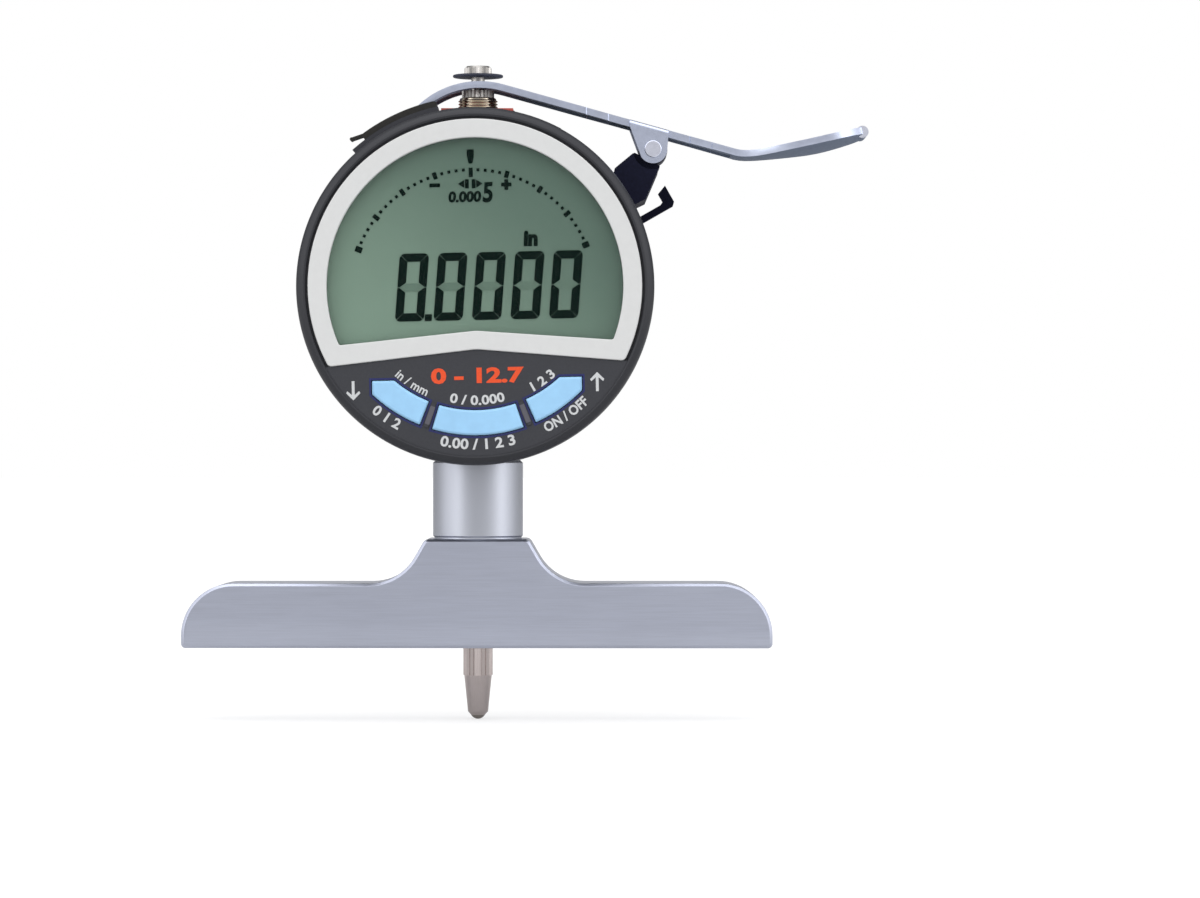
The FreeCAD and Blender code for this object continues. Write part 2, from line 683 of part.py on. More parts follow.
def case_body():
    outside = case_outside()
    cavity = y_cylinder(CASE_BORE, CASE_INNER_Y, CASE_BACK_Y + 1, 0, DIAL_Z)
    stem_pad = z_cylinder(STEM_PAD_RADIUS, SLEEVE_TOP_Z - 1, STEM_PAD_TOP_Z)
    bush_pad = z_cylinder(BUSH_PAD_RADIUS, BUSH_PAD_LOW_Z, BUSH_FLAT_Z)
    drawer_bay = drawer_space(EASE + DRAWER_RAIL)
    port_bay = at_port(
        port_block(
            PORT_LENGTH + 2 * PORT_WALL,
            PORT_WIDTH + 2 * PORT_WALL,
            PORT_INNER_RADIUS - PORT_WALL,
            CASE_RADIUS,
        )
    )
    solid_parts = [stem_pad, bush_pad, drawer_bay, port_bay]
    for x, z in cover_screw_places():
        solid_parts.append(y_cylinder(COVER_BOSS_RADIUS, CASE_INNER_Y, CASE_BACK_Y, x, z))
    inside = cavity.common(outside)
    for piece in solid_parts:
        inside = inside.cut(piece)
    body = outside.cut(inside)
    body = body.cut(drawer_space(EASE))
    body = body.cut(contact_leaf_space(DRAWER_INNER_X))
    body = body.cut(y_cylinder(HUB_RADIUS + SEAT, CASE_FRONT_Y - 1, CASE_INNER_Y + 1, 0, DIAL_Z))
    body = body.cut(z_cylinder(STEM_RADIUS + FIT, SLEEVE_TOP_Z - 1, STEM_PAD_TOP_Z + 1))
    body = body.cut(z_cylinder(BUSH_RADIUS + FIT, BUSH_PAD_LOW_Z - 1, BUSH_FLAT_Z + 1))
    reach = CASE_RADIUS + PORT_LAND_RISE + 1
    body = body.cut(
        at_port(port_block(PORT_LENGTH + SEAT, PORT_WIDTH + SEAT, PORT_INNER_RADIUS, reach))
    )
    for x, z in cover_screw_places():
        low = CASE_BACK_Y - COVER_SCREW_LENGTH
        body = body.cut(y_cylinder(COVER_SCREW_RADIUS + FIT, low, CASE_BACK_Y + 1, x, z))
    groove = gasket_ring(CASE_BACK_Y + 1)
    return body.cut(groove)


def gasket_ring(back_y):
    """The square-cut seal in the rim, also used to cut its groove."""
    outer = CASE_RADIUS - GASKET_INSET
    front_y = CASE_BACK_Y - GASKET_DEPTH
    ring = y_cylinder(outer, front_y, back_y, 0, DIAL_Z)
    ring = ring.cut(y_cylinder(outer - GASKET_WIDTH, front_y - 1, back_y + 1, 0, DIAL_Z))
    flat_z = SLEEVE_TOP_Z + GASKET_INSET
    limit = block(-CASE_RADIUS, CASE_RADIUS, front_y, back_y, flat_z, DIAL_Z + CASE_RADIUS)
    return ring.common(limit)


def rear_cover():
    cover = y_cylinder(CASE_RADIUS, CASE_BACK_Y, COVER_BACK_Y, 0, DIAL_Z)
    rim = edges_near(cover, lambda e: abs(e.CenterOfMass.y - COVER_BACK_Y) < 0.01)
    cover = cover.makeChamfer(COVER_CHAMFER, rim)
    cover = cover.cut(
        block(-CASE_RADIUS, CASE_RADIUS, CASE_BACK_Y - 1, COVER_BACK_Y + 1, 0, SLEEVE_TOP_Z)
    )
    for x, z in cover_screw_places():
        cover = cover.cut(cover_screw(x, z, FIT))
    for x, z in bracket_screw_places():
        hole = y_cylinder(BRACKET_SCREW_RADIUS + FIT, CASE_BACK_Y - 1, COVER_BACK_Y + 1, x, z)
        cover = cover.cut(hole)
    return cover


def cover_screw(x, z, grow=0.0):
    """A countersunk screw, or with grow the hole for one."""
    shank_front = CASE_BACK_Y - COVER_SCREW_LENGTH
    head_front = COVER_BACK_Y - COVER_SCREW_HEAD_DEPTH
    shank = y_cylinder(COVER_SCREW_RADIUS + grow, shank_front, head_front, x, z)
    head = Part.makeCone(
        COVER_SCREW_RADIUS + grow,
        COVER_SCREW_HEAD_RADIUS + grow,
        COVER_SCREW_HEAD_DEPTH,
        Vector(x, head_front, z),
        Y_AXIS,
    )
    return shank.fuse(head)


def slotted_screw(x, z):
    screw = cover_screw(x, z)
    half = COVER_SCREW_HEAD_RADIUS
    depth = COVER_SCREW_HEAD_DEPTH * 0.45
    for turn in (0, 90):
        slot = block(-half * 0.7, half * 0.7, COVER_BACK_Y - depth, COVER_BACK_Y + 1, -0.2, 0.2)
        slot.rotate(Vector(0, 0, 0), Y_AXIS, turn)
        slot.translate(Vector(x, 0, z))
        screw = screw.cut(slot)
    return screw


def cover_screws():
    return Part.Compound([slotted_screw(x, z) for x, z in cover_screw_places()])


# Top guide bush and its red sealing plate


def top_bush():
    bore = SPINDLE_RADIUS + RUNNING
    points = [
        (bore, BUSH_FLANGE_LOW_Z),
        (BUSH_FLANGE_RADIUS, BUSH_FLANGE_LOW_Z),
        (BUSH_FLANGE_RADIUS, BUSH_PAD_LOW_Z),
        (BUSH_RADIUS, BUSH_PAD_LOW_Z),
    ]
    for i in range(BUSH_GROOVES, 0, -1):
        z = BUSH_TOP_Z - i * BUSH_GROOVE_PITCH
        points += [
            (BUSH_RADIUS, z - BUSH_GROOVE_PITCH / 4),
            (BUSH_RADIUS - BUSH_GROOVE_DEPTH, z),
            (BUSH_RADIUS, z + BUSH_GROOVE_PITCH / 4),
        ]
    points += [
        (BUSH_RADIUS, BUSH_TOP_Z - BUSH_GROOVE_DEPTH),
        (BUSH_RADIUS - BUSH_GROOVE_DEPTH, BUSH_TOP_Z),
        (bore, BUSH_TOP_Z),
    ]
    return turned_about_z(points)


def seal_plate():
    half_x = SEAL_PLATE_WIDTH / 2
    half_y = SEAL_PLATE_DEPTH / 2
    plate = block(
        -half_x, half_x, -half_y, half_y, BUSH_FLAT_Z, BUSH_FLAT_Z + SEAL_PLATE_THICKNESS
    )
    return plate.cut(z_cylinder(BUSH_RADIUS + FIT, BUSH_FLAT_Z - 1, BUSH_TOP_Z))


# Data port and its cap


def data_port():
    body = port_block(PORT_LENGTH, PORT_WIDTH, PORT_INNER_RADIUS, CASE_RADIUS)
    recess_low = CASE_RADIUS - PORT_RECESS_DEPTH
    recess = port_block(
        PORT_LENGTH - 2 * PORT_WALL, PORT_WIDTH - 2 * PORT_WALL, recess_low, CASE_RADIUS + 1
    )
    return at_port(body.cut(recess))


def port_cap():
    inner = CASE_RADIUS + PORT_LAND_RISE
    outer = inner + CAP_RISE
    front = PORT_Y - CAP_WIDTH / 2
    back = PORT_Y + CAP_WIDTH / 2
    lid = band(inner, outer, *CAP_ANGLES, front, back)
    end_ramp = edges_near(lid, lambda e: runs_along_y(e) and far_from_dial(e) > outer - 0.05)
    lid = lid.makeFillet(CAP_RISE * 0.55, end_ramp)
    plug_low = CASE_RADIUS - PORT_RECESS_DEPTH + EASE
    plug = at_port(
        port_block(
            PORT_LENGTH - 2 * PORT_WALL - EASE,
            PORT_WIDTH - 2 * PORT_WALL - EASE,
            plug_low,
            inner + CAP_RISE / 2,
        )
    )
    return lid.fuse([cap_tab(inner + CAP_TAB_RISE), plug])


def cap_tab(radius):
    """The pull tab: a thin strip that leaves the lid's end, with a bead along its tip."""
    root_x, root_z = on_circle((0, DIAL_Z), radius, CAP_ANGLES[0] + 1.5)
    front = PORT_Y - CAP_TAB_WIDTH / 2
    back = PORT_Y + CAP_TAB_WIDTH / 2
    half = CAP_TAB_THICKNESS / 2
    strip = block(-CAP_TAB_LENGTH, 0, front, back, -half, half)
    bead = y_cylinder(CAP_TAB_BEAD_RADIUS, front, back, -CAP_TAB_LENGTH, 0)
    tab = strip.fuse(bead)
    tab.rotate(Vector(0, 0, 0), Y_AXIS, -CAP_TAB_TILT)
    tab.translate(Vector(root_x, 0, root_z))
    return tab


def far_from_dial(edge):
    return math.hypot(edge.CenterOfMass.x, edge.CenterOfMass.z - DIAL_Z)


# Battery drawer


def battery_drawer():
    tray = block(
        -CASE_RADIUS,
        DRAWER_INNER_X,
        DRAWER_FRONT_Y,
        DRAWER_BACK_Y,
        DIAL_Z - DRAWER_HALF_HEIGHT,
        DIAL_Z + DRAWER_HALF_HEIGHT,
    )
    tray = tray.common(y_cylinder(CASE_RADIUS, CASE_FRONT_Y, CASE_BACK_Y, 0, DIAL_Z))
    pocket_front = DRAWER_FRONT_Y + DRAWER_FLOOR
    tray = tray.cut(
        y_cylinder(CELL_RADIUS + SEAT, pocket_front, DRAWER_BACK_Y + 1, CELL_X, DIAL_Z)
    )
    nail_radius = 1.0
    middle = (DRAWER_FRONT_Y + DRAWER_BACK_Y) / 2
    nail = Part.makeCylinder(
        nail_radius, DRAWER_HALF_HEIGHT, Vector(-CASE_RADIUS, middle, DIAL_Z - DRAWER_HALF_HEIGHT / 2)
    )
    return tray.cut(nail)


def coin_cell():
    front = DRAWER_FRONT_Y + DRAWER_FLOOR
    step = CELL_THICKNESS * 0.2
    can = y_cylinder(CELL_RADIUS, front + step, front + CELL_THICKNESS, CELL_X, DIAL_Z)
    button = y_cylinder(CELL_RADIUS * 0.85, front, front + step, CELL_X, DIAL_Z)
    return can.fuse(button)


def contact_leaf_space(low_x):
    middle = (DRAWER_FRONT_Y + DRAWER_BACK_Y) / 2
    half = CONTACT_LEAF_SIZE / 2
    high_x = DRAWER_INNER_X + EASE + CONTACT_LEAF_THICKNESS
    return block(low_x, high_x, middle - half, middle + half, DIAL_Z - half, DIAL_Z + half)


def battery_contact():
    """The contact leaf, let into the bay's inner wall flush with it."""
    return contact_leaf_space(DRAWER_INNER_X + EASE)


# Display head, drawn about the Y axis and then moved to the dial


def bezel_ring():
    edge = RING_EDGE_RADIUS
    diagonal = edge * (1 - math.sqrt(0.5))
    ledge = RING_LEDGE_RADIUS
    outline = Outline(HEAD_RADIUS, HEAD_BACK_Y, "XY")
    outline.line(HEAD_RADIUS, HEAD_FRONT_Y + edge)
    lip_y = HEAD_FRONT_Y + edge * (1 - math.sqrt(0.75))
    middle = (HEAD_RADIUS - diagonal, HEAD_FRONT_Y + diagonal)
    outline.arc(middle, (HEAD_RADIUS - edge / 2, lip_y))
    outline.line(RING_LIP_RADIUS, PANEL_FRONT_Y - RING_LIP_STEP)
    outline.line(RING_LIP_RADIUS, PANEL_DISC_BACK_Y)
    outline.line(ledge, PANEL_DISC_BACK_Y)
    outline.line(ledge, HEAD_BACK_Y)
    return on_dial(outline.turn())


def display_shape(radius, corner_drop, peak_drop, corner_round, front_y, back_y):
    """The round-topped display outline with its shallow roof-shaped lower edge."""
    reach = math.sqrt(radius**2 - corner_drop**2)
    outline = Outline(-reach, -corner_drop)
    outline.line(0, -peak_drop)
    outline.line(reach, -corner_drop)
    outline.arc((0, radius), (-reach, -corner_drop))
    solid = outline.extrude(front_y, back_y)
    corners = edges_near(
        solid, lambda e: runs_along_y(e) and abs(e.CenterOfMass.z + corner_drop) < 0.01
    )
    solid = solid.makeFillet(corner_round, corners)
    peak = edges_near(
        solid, lambda e: runs_along_y(e) and abs(e.CenterOfMass.z + peak_drop) < 0.01
    )
    return solid.makeFillet(FRAME_PEAK_RADIUS, peak)


def window_shape(shrink, front_y, back_y):
    return display_shape(
        WINDOW_RADIUS - shrink,
        WINDOW_CORNER_DROP - shrink,
        WINDOW_PEAK_DROP - shrink,
        WINDOW_CORNER_RADIUS,
        front_y,
        back_y,
    )


def frame_shape(grow, front_y, back_y):
    return display_shape(
        FRAME_RADIUS + grow,
        FRAME_CORNER_DROP + grow,
        FRAME_PEAK_DROP + grow,
        FRAME_CORNER_RADIUS,
        front_y,
        back_y,
    )


def display_frame():
    frame = frame_shape(0, FRAME_FRONT_Y, PANEL_DISC_FRONT_Y)
    return on_dial(frame.cut(window_shape(0, FRAME_FRONT_Y - 1, PANEL_DISC_FRONT_Y + 1)))


def window_lens():
    return on_dial(window_shape(SEAT, LENS_FRONT_Y, PANEL_DISC_BACK_Y))


def button_band(start, end, grow, front_y, back_y):
    """Part of the button band; angles run from straight down, positive to the right."""
    spread = math.degrees(grow / BUTTON_OUTER_RADIUS)
    return band(
        BUTTON_INNER_RADIUS - grow,
        BUTTON_OUTER_RADIUS + grow,
        180 - end - spread,
        180 - start + spread,
        front_y,
        back_y,
        Vector(0, 0, 0),
    )


def button_shape(place, grow, front_y, back_y):
    """One button's outline; place is -1, 0 or 1 from left to right."""
    if place == 0:
        return button_band(-CENTRE_BUTTON_ANGLE, CENTRE_BUTTON_ANGLE, grow, front_y, back_y)
    whole = button_band(SIDE_BUTTON_ANGLE, 65, grow, front_y, back_y)
    window = block(
        0,
        SIDE_BUTTON_REACH + grow,
        front_y,
        back_y,
        -BUTTON_OUTER_RADIUS - 1,
        -SIDE_BUTTON_TOP_DROP + grow,
    )
    shape = whole.common(window)
    return shape if place > 0 else shape.mirror(Vector(0, 0, 0), X_AXIS)


def button(place):
    cap = button_shape(place, 0, BUTTON_FRONT_Y, PANEL_DISC_BACK_Y)
    rim = edges_near(
        cap, lambda e: all(abs(v.Point.y - BUTTON_FRONT_Y) < 0.01 for v in e.Vertexes)
    )
    cap = cap.makeChamfer(BUTTON_EDGE_CHAMFER, rim)
    flange = button_shape(place, BUTTON_FLANGE, PANEL_DISC_BACK_Y, BUTTON_FLANGE_BACK_Y)
    return on_dial(cap.fuse(flange))


def front_panel():
    disc = y_cylinder(RING_LIP_RADIUS - SEAT, PANEL_DISC_FRONT_Y, PANEL_DISC_BACK_Y)
    raised = y_cylinder(RING_LIP_RADIUS - SEAT, PANEL_FRONT_Y, PANEL_DISC_FRONT_Y)
    below = block(
        -HEAD_RADIUS, HEAD_RADIUS, PANEL_FRONT_Y, PANEL_DISC_FRONT_Y, -HEAD_RADIUS, 0
    )
    raised = raised.common(below)
    raised = raised.cut(frame_shape(SEAT, PANEL_FRONT_Y - 1, PANEL_DISC_FRONT_Y))
    shadow_gap = y_cylinder(RING_LIP_RADIUS, PANEL_FRONT_Y - 1, PANEL_DISC_FRONT_Y).common(
        block(
            -HEAD_RADIUS,
            HEAD_RADIUS,
            PANEL_FRONT_Y - 1,
            PANEL_DISC_FRONT_Y,
            -FRAME_CORNER_DROP,
            HEAD_RADIUS,
        )
    )
    shadow_gap = shadow_gap.cut(
        y_cylinder(FRAME_RADIUS, PANEL_FRONT_Y - 2, PANEL_DISC_FRONT_Y + 1)
    )
    panel = disc.fuse(raised.cut(shadow_gap))
    for side in (-1, 1):
        panel = panel.fuse(divider_rib(side))
    panel = panel.cut(window_shape(0, PANEL_DISC_FRONT_Y - 1, PANEL_DISC_BACK_Y + 1))
    for place in (-1, 0, 1):
        hole = button_shape(place, BUTTON_GAP, PANEL_FRONT_Y - 1, PANEL_DISC_BACK_Y + 1)
        panel = panel.cut(hole)
    return on_dial(panel)


def divider_rib(side):
    rib = block(
        -RIB_WIDTH / 2,
        RIB_WIDTH / 2,
        PANEL_FRONT_Y - RIB_RISE,
        PANEL_FRONT_Y,
        -BUTTON_OUTER_RADIUS,
        -BUTTON_INNER_RADIUS,
    )
    rib.rotate(Vector(0, 0, 0), Y_AXIS, -side * RIB_ANGLE)
    return rib


def lcd_panel():
    radius = WINDOW_RADIUS + LCD_MARGIN
    glass = y_cylinder(radius, LCD_FRONT_Y, LCD_BACK_Y)
    return on_dial(
        glass.common(
            block(-radius, radius, LCD_FRONT_Y, LCD_BACK_Y, -LCD_BOTTOM_DROP, radius)
        )
    )


def contact_strips():
    """The two rubber strips that carry the display's signals from the board."""
    half = CONTACT_STRIP_LENGTH / 2
    high = CONTACT_STRIP_DROP
    low = -high - CONTACT_STRIP_WIDTH
    low_strip = block(-half, half, LCD_BACK_Y, BOARD_FRONT_Y, low, -high)
    top = WINDOW_RADIUS - CONTACT_STRIP_WIDTH
    top_half = TOP_STRIP_LENGTH / 2
    top_strip = block(
        -top_half, top_half, LCD_BACK_Y, BOARD_FRONT_Y, top - CONTACT_STRIP_WIDTH, top
    )
    return on_dial(Part.Compound([low_strip, top_strip]))


def main_board():
    board = y_cylinder(BOARD_RADIUS, BOARD_FRONT_Y, BOARD_BACK_Y)
    board = board.cut(y_cylinder(BOARD_HOLE_RADIUS, BOARD_FRONT_Y - 1, BOARD_BACK_Y + 1))
    for place in head_screw_places():
        board = board.cut(
            y_cylinder(HEAD_SCREW_RADIUS + EASE, BOARD_FRONT_Y - 1, BOARD_BACK_Y + 1, *place)
        )
    return on_dial(board)


def controller_chip():
    """The measuring circuit's chip on the front of the board, behind the display."""
    half = CHIP_SIZE / 2
    return on_dial(block(-half, half, LCD_BACK_Y + SEAT, BOARD_FRONT_Y, -half, half))


def head_screw_places():
    turn = 360 / HEAD_SCREWS
    angles = [math.radians(90 + turn * i) for i in range(HEAD_SCREWS)]
    return [
        (HEAD_SCREW_CIRCLE * math.cos(a), HEAD_SCREW_CIRCLE * math.sin(a)) for a in angles
    ]


def key_mat():
    """The rubber mat under the buttons, with one dome for each."""
    back = BOARD_FRONT_Y
    front = BUTTON_FLANGE_BACK_Y + BUTTON_TRAVEL + PAD_DOME_RISE
    mat = band(
        BUTTON_INNER_RADIUS - 1,
        BUTTON_OUTER_RADIUS,
        180 - 46,
        180 + 46,
        front,
        back,
        Vector(0, 0, 0),
    )
    middle = (BUTTON_INNER_RADIUS + BUTTON_OUTER_RADIUS) / 2
    for angle in (-33, 0, 33):
        turn = math.radians(angle)
        dome = y_cylinder(
            PAD_DOME_RADIUS,
            front - PAD_DOME_RISE + SEAT,
            front,
            middle * math.sin(turn),
            -middle * math.cos(turn),
        )
        mat = mat.fuse(dome)
    return on_dial(mat)


def head_plate():
    """The rear plate of the head, with the hub that turns in the case's front wall."""
    plate = y_cylinder(RING_LEDGE_RADIUS - SEAT, HEAD_PLATE_FRONT_Y, HEAD_BACK_Y)
    hub = y_cylinder(HUB_RADIUS, HEAD_BACK_Y, HUB_RING_FRONT_Y)
    step_radius = HUB_RADIUS - HUB_RING_THICKNESS
    step = y_cylinder(step_radius, CASE_INNER_Y, HUB_END_Y)
    plate = plate.fuse([hub, step])
    plate = plate.cut(y_cylinder(HUB_BORE_RADIUS, HEAD_PLATE_FRONT_Y - 1, HUB_END_Y + 1))
    seal_front = HEAD_BACK_Y - HEAD_SEAL_DEPTH
    plate = plate.cut(head_seal_ring(seal_front, HEAD_BACK_Y + 1))
    for x, z in head_screw_places():
        hole = y_cylinder(HEAD_SCREW_RADIUS + FIT, HEAD_PLATE_FRONT_Y - 1, HEAD_BACK_Y + 1, x, z)
        seat_y = HEAD_BACK_Y - HEAD_SCREW_HEAD_DEPTH
        seat = y_cylinder(HEAD_SCREW_HEAD_RADIUS + FIT, seat_y, HEAD_BACK_Y + 1, x, z)
        plate = plate.cut(hole).cut(seat)
    return on_dial(plate)


def head_seal_ring(front_y, back_y):
    ring = y_cylinder(HEAD_SEAL_RADIUS, front_y, back_y)
    return ring.cut(y_cylinder(HEAD_SEAL_RADIUS - HEAD_SEAL_WIDTH, front_y - 1, back_y + 1))


def head_seal():
    """The friction ring that holds the head wherever it is turned."""
    return on_dial(head_seal_ring(HEAD_BACK_Y - HEAD_SEAL_DEPTH, CASE_FRONT_Y - SEAT))


def hub_ring():
    """The ring on the hub's end that keeps the head on the case."""
    ring = y_cylinder(HUB_RING_RADIUS, HUB_RING_FRONT_Y, HUB_END_Y)
    step_radius = HUB_RADIUS - HUB_RING_THICKNESS
    return on_dial(ring.cut(y_cylinder(step_radius, HUB_RING_FRONT_Y - 1, HUB_END_Y + 1)))


def head_screws():
    screws = []
    for x, z in head_screw_places():
        head_front = HEAD_BACK_Y - HEAD_SCREW_HEAD_DEPTH
        shank = y_cylinder(HEAD_SCREW_RADIUS, BOARD_FRONT_Y, head_front, x, z)
        head = y_cylinder(HEAD_SCREW_HEAD_RADIUS, head_front, HEAD_BACK_Y - SEAT, x, z)
        screws.append(shank.fuse(head))
    return on_dial(Part.Compound(screws))


# Spindle group


def spindle_rod():
    rod = z_cylinder(SPINDLE_RADIUS, SPINDLE_LOW_Z, COLLAR_LOW_Z)
    stud_hole_top = SPINDLE_LOW_Z + TIP_STUD_LENGTH + EASE
    rod = rod.cut(z_cylinder(TIP_STUD_RADIUS + FIT, SPINDLE_LOW_Z - 1, stud_hole_top))
    top_hole_low = COLLAR_LOW_Z - SCREW_NECK_DEPTH - EASE
    return rod.cut(z_cylinder(SCREW_NECK_RADIUS + FIT, top_hole_low, BUSH_TOP_Z + 1))


def contact_point():
    ball_z = TIP_Z + TIP_BALL_RADIUS
    bevel_z = TIP_CONE_LOW_Z - 0.6
    bevel_radius = math.sqrt(TIP_BALL_RADIUS**2 - (ball_z - bevel_z) ** 2)
    core_radius = TIP_RADIUS - TIP_FLUTE_DEPTH / 2
    cone = turned_about_z(
        [
            (0, bevel_z),
            (bevel_radius, bevel_z),
            (TIP_CONE_LOW_RADIUS, TIP_CONE_LOW_Z),
            (core_radius, TIP_CONE_TOP_Z),
            (0, TIP_CONE_TOP_Z),
        ]
    )
    fluted = toothed(TIP_RADIUS, TIP_FLUTE_DEPTH, TIP_FLUTES, TIP_CONE_TOP_Z, SPINDLE_LOW_Z)
    stud = z_cylinder(TIP_STUD_RADIUS, SPINDLE_LOW_Z, SPINDLE_LOW_Z + TIP_STUD_LENGTH)
    point = cone.fuse([fluted, stud])
    return point.cut(Part.makeSphere(TIP_BALL_RADIUS, Vector(0, 0, ball_z)))


def contact_ball():
    return Part.makeSphere(TIP_BALL_RADIUS, Vector(0, 0, TIP_Z + TIP_BALL_RADIUS))


def lift_collar():
    collar = toothed(COLLAR_RADIUS, KNURL_DEPTH, COLLAR_TEETH, COLLAR_LOW_Z, COLLAR_TOP_Z)
    return collar.cut(z_cylinder(SCREW_NECK_RADIUS + FIT, COLLAR_LOW_Z - 1, COLLAR_TOP_Z + 1))


def lift_washer():
    high = WASHER_Z + WASHER_THICKNESS
    washer = z_cylinder(WASHER_RADIUS, WASHER_Z, high)
    washer = washer.makeFillet(WASHER_THICKNESS * 0.4, edges_near(washer, is_round_edge))
    return washer.cut(z_cylinder(SCREW_NECK_RADIUS + FIT, WASHER_Z - 1, high + 1))


def cap_screw():
    head_low = WASHER_Z + WASHER_THICKNESS
    head_high = head_low + SCREW_HEAD_HEIGHT
    head = toothed(SCREW_HEAD_RADIUS, KNURL_DEPTH, SCREW_HEAD_TEETH, head_low, head_high)
    edge = turned_about_z(
        [
            (0, head_low - 1),
            (SCREW_HEAD_RADIUS + 1, head_low - 1),
            (SCREW_HEAD_RADIUS + 1, head_high - 1.4),
            (SCREW_HEAD_RADIUS - 0.4, head_high),
            (0, head_high),
        ]
    )
    neck = z_cylinder(SCREW_NECK_RADIUS, COLLAR_LOW_Z - SCREW_NECK_DEPTH, head_low)
    return head.common(edge).fuse(neck)


def scale_block():
    half = SCALE_BLOCK_WIDTH / 2
    high = SCALE_BLOCK_TOP_Z
    body = block(-half, half, SCALE_BLOCK_FRONT_Y, SCALE_FRONT_Y, SCALE_BLOCK_LOW_Z, high)
    body = body.cut(z_cylinder(SPINDLE_RADIUS, SCALE_BLOCK_LOW_Z - 1, high + 1))
    start = Vector(0, 0, GUIDE_PIN_Z)
    return body.cut(Part.makeCylinder(GUIDE_PIN_RADIUS, SCALE_BLOCK_WIDTH, start, X_AXIS))


def main_scale():
    half = SCALE_WIDTH / 2
    return block(
        -half,
        half,
        SCALE_FRONT_Y,
        SCALE_FRONT_Y + SCALE_THICKNESS,
        SCALE_LOW_Z,
        SCALE_LOW_Z + SCALE_LENGTH,
    )


def guide_pin():
    start = Vector(0, 0, GUIDE_PIN_Z)
    pin = Part.makeCylinder(GUIDE_PIN_RADIUS, RAIL_OUTER_X, start, X_AXIS)
    low_z = GUIDE_PIN_Z - 2 * GUIDE_PIN_RADIUS
    return pin.cut(z_cylinder(SPINDLE_RADIUS, low_z, GUIDE_PIN_Z + 2 * GUIDE_PIN_RADIUS))


def return_spring():
    half = SPRING_WIRE / 2
    low = SCALE_BLOCK_TOP_Z + half + SEAT
    high = FRAME_HIGH_Z - half - SEAT
    pitch = (high - low) / SPRING_TURNS
    helix = Part.makeHelix(pitch, high - low, SPRING_RADIUS)
    corners = [(-half, -half), (half, -half), (half, half), (-half, half), (-half, -half)]
    section = Part.makePolygon([Vector(SPRING_RADIUS + a, 0, b) for a, b in corners])
    coil = Part.Wire(helix).makePipeShell([section], True, True)
    coil.translate(Vector(0, 0, low))
    return coil


# Inner frame, detector and guide rail


def inner_frame():
    half = FRAME_PLATE_WIDTH / 2
    low = STEM_FLANGE_TOP_Z
    high = BUSH_FLANGE_LOW_Z
    back = FRAME_WEB_Y + FRAME_PLATE_THICKNESS
    web = block(-half, half, FRAME_WEB_Y, back, low, high)
    lower_foot = block(-half, half, FRAME_FOOT_FRONT_Y, back, low, FRAME_LOW_Z)
    upper_foot = block(-half, half, FRAME_FOOT_FRONT_Y, back, FRAME_HIGH_Z, high)
    frame = web.fuse([lower_foot, upper_foot])
    return frame.cut(z_cylinder(SPINDLE_RADIUS + EASE, low - 1, high + 1))


def detector_board():
    return detector_space(0.0, FRAME_WEB_Y)


def detector_space(grow, back_y):
    half = DETECTOR_WIDTH / 2 + grow
    low = FRAME_LOW_Z + DETECTOR_FOOT_GAP - grow
    high = FRAME_HIGH_Z - DETECTOR_FOOT_GAP + grow
    return block(-half, half, DETECTOR_FRONT_Y - grow, back_y, low, high)


def guide_rail():
    low = FRAME_LOW_Z + RAIL_FOOT_GAP
    high = FRAME_HIGH_Z - RAIL_FOOT_GAP
    rail = block(RAIL_INNER_X, RAIL_OUTER_X, RAIL_FRONT_Y, FRAME_WEB_Y, low, high)
    half = GUIDE_PIN_RADIUS + RUNNING
    slot = block(0, RAIL_OUTER_X + 1, -half, half, low + RAIL_END, high - RAIL_END)
    return rail.cut(slot).cut(detector_space(SEAT, FRAME_WEB_Y + 1))


# Lifting lever


def lever_path():
    """Centres and tangent points of the lever's top line, from the fork to the pad's end."""
    slope = math.radians(LEVER_SLOPE)
    arch_z = ARCH_TOP_Z - ARCH_RADIUS
    shoulder = (ARCH_X + ARCH_RADIUS * math.sin(slope), arch_z + ARCH_RADIUS * math.cos(slope))
    bend = (PAD_BEND_X, shoulder[1] - (PAD_BEND_X - shoulder[0]) * math.tan(slope))
    bend_centre = (
        bend[0] + PAD_BEND_RADIUS * math.sin(slope),
        bend[1] + PAD_BEND_RADIUS * math.cos(slope),
    )
    rise = math.radians(PAD_START_SLOPE)
    pad = (
        bend_centre[0] + PAD_BEND_RADIUS * math.sin(rise),
        bend_centre[1] - PAD_BEND_RADIUS * math.cos(rise),
    )
    pad_centre = (pad[0] - PAD_RADIUS * math.sin(rise), pad[1] + PAD_RADIUS * math.cos(rise))
    return {
        "arch_centre": (ARCH_X, arch_z),
        "shoulder": shoulder,
        "bend": bend,
        "bend_centre": bend_centre,
        "pad": pad,
        "pad_centre": pad_centre,
    }


def on_circle(centre, radius, angle):
    """A point on a circle; the angle runs clockwise from straight up."""
    turn = math.radians(angle)
    return (centre[0] + radius * math.sin(turn), centre[1] + radius * math.cos(turn))


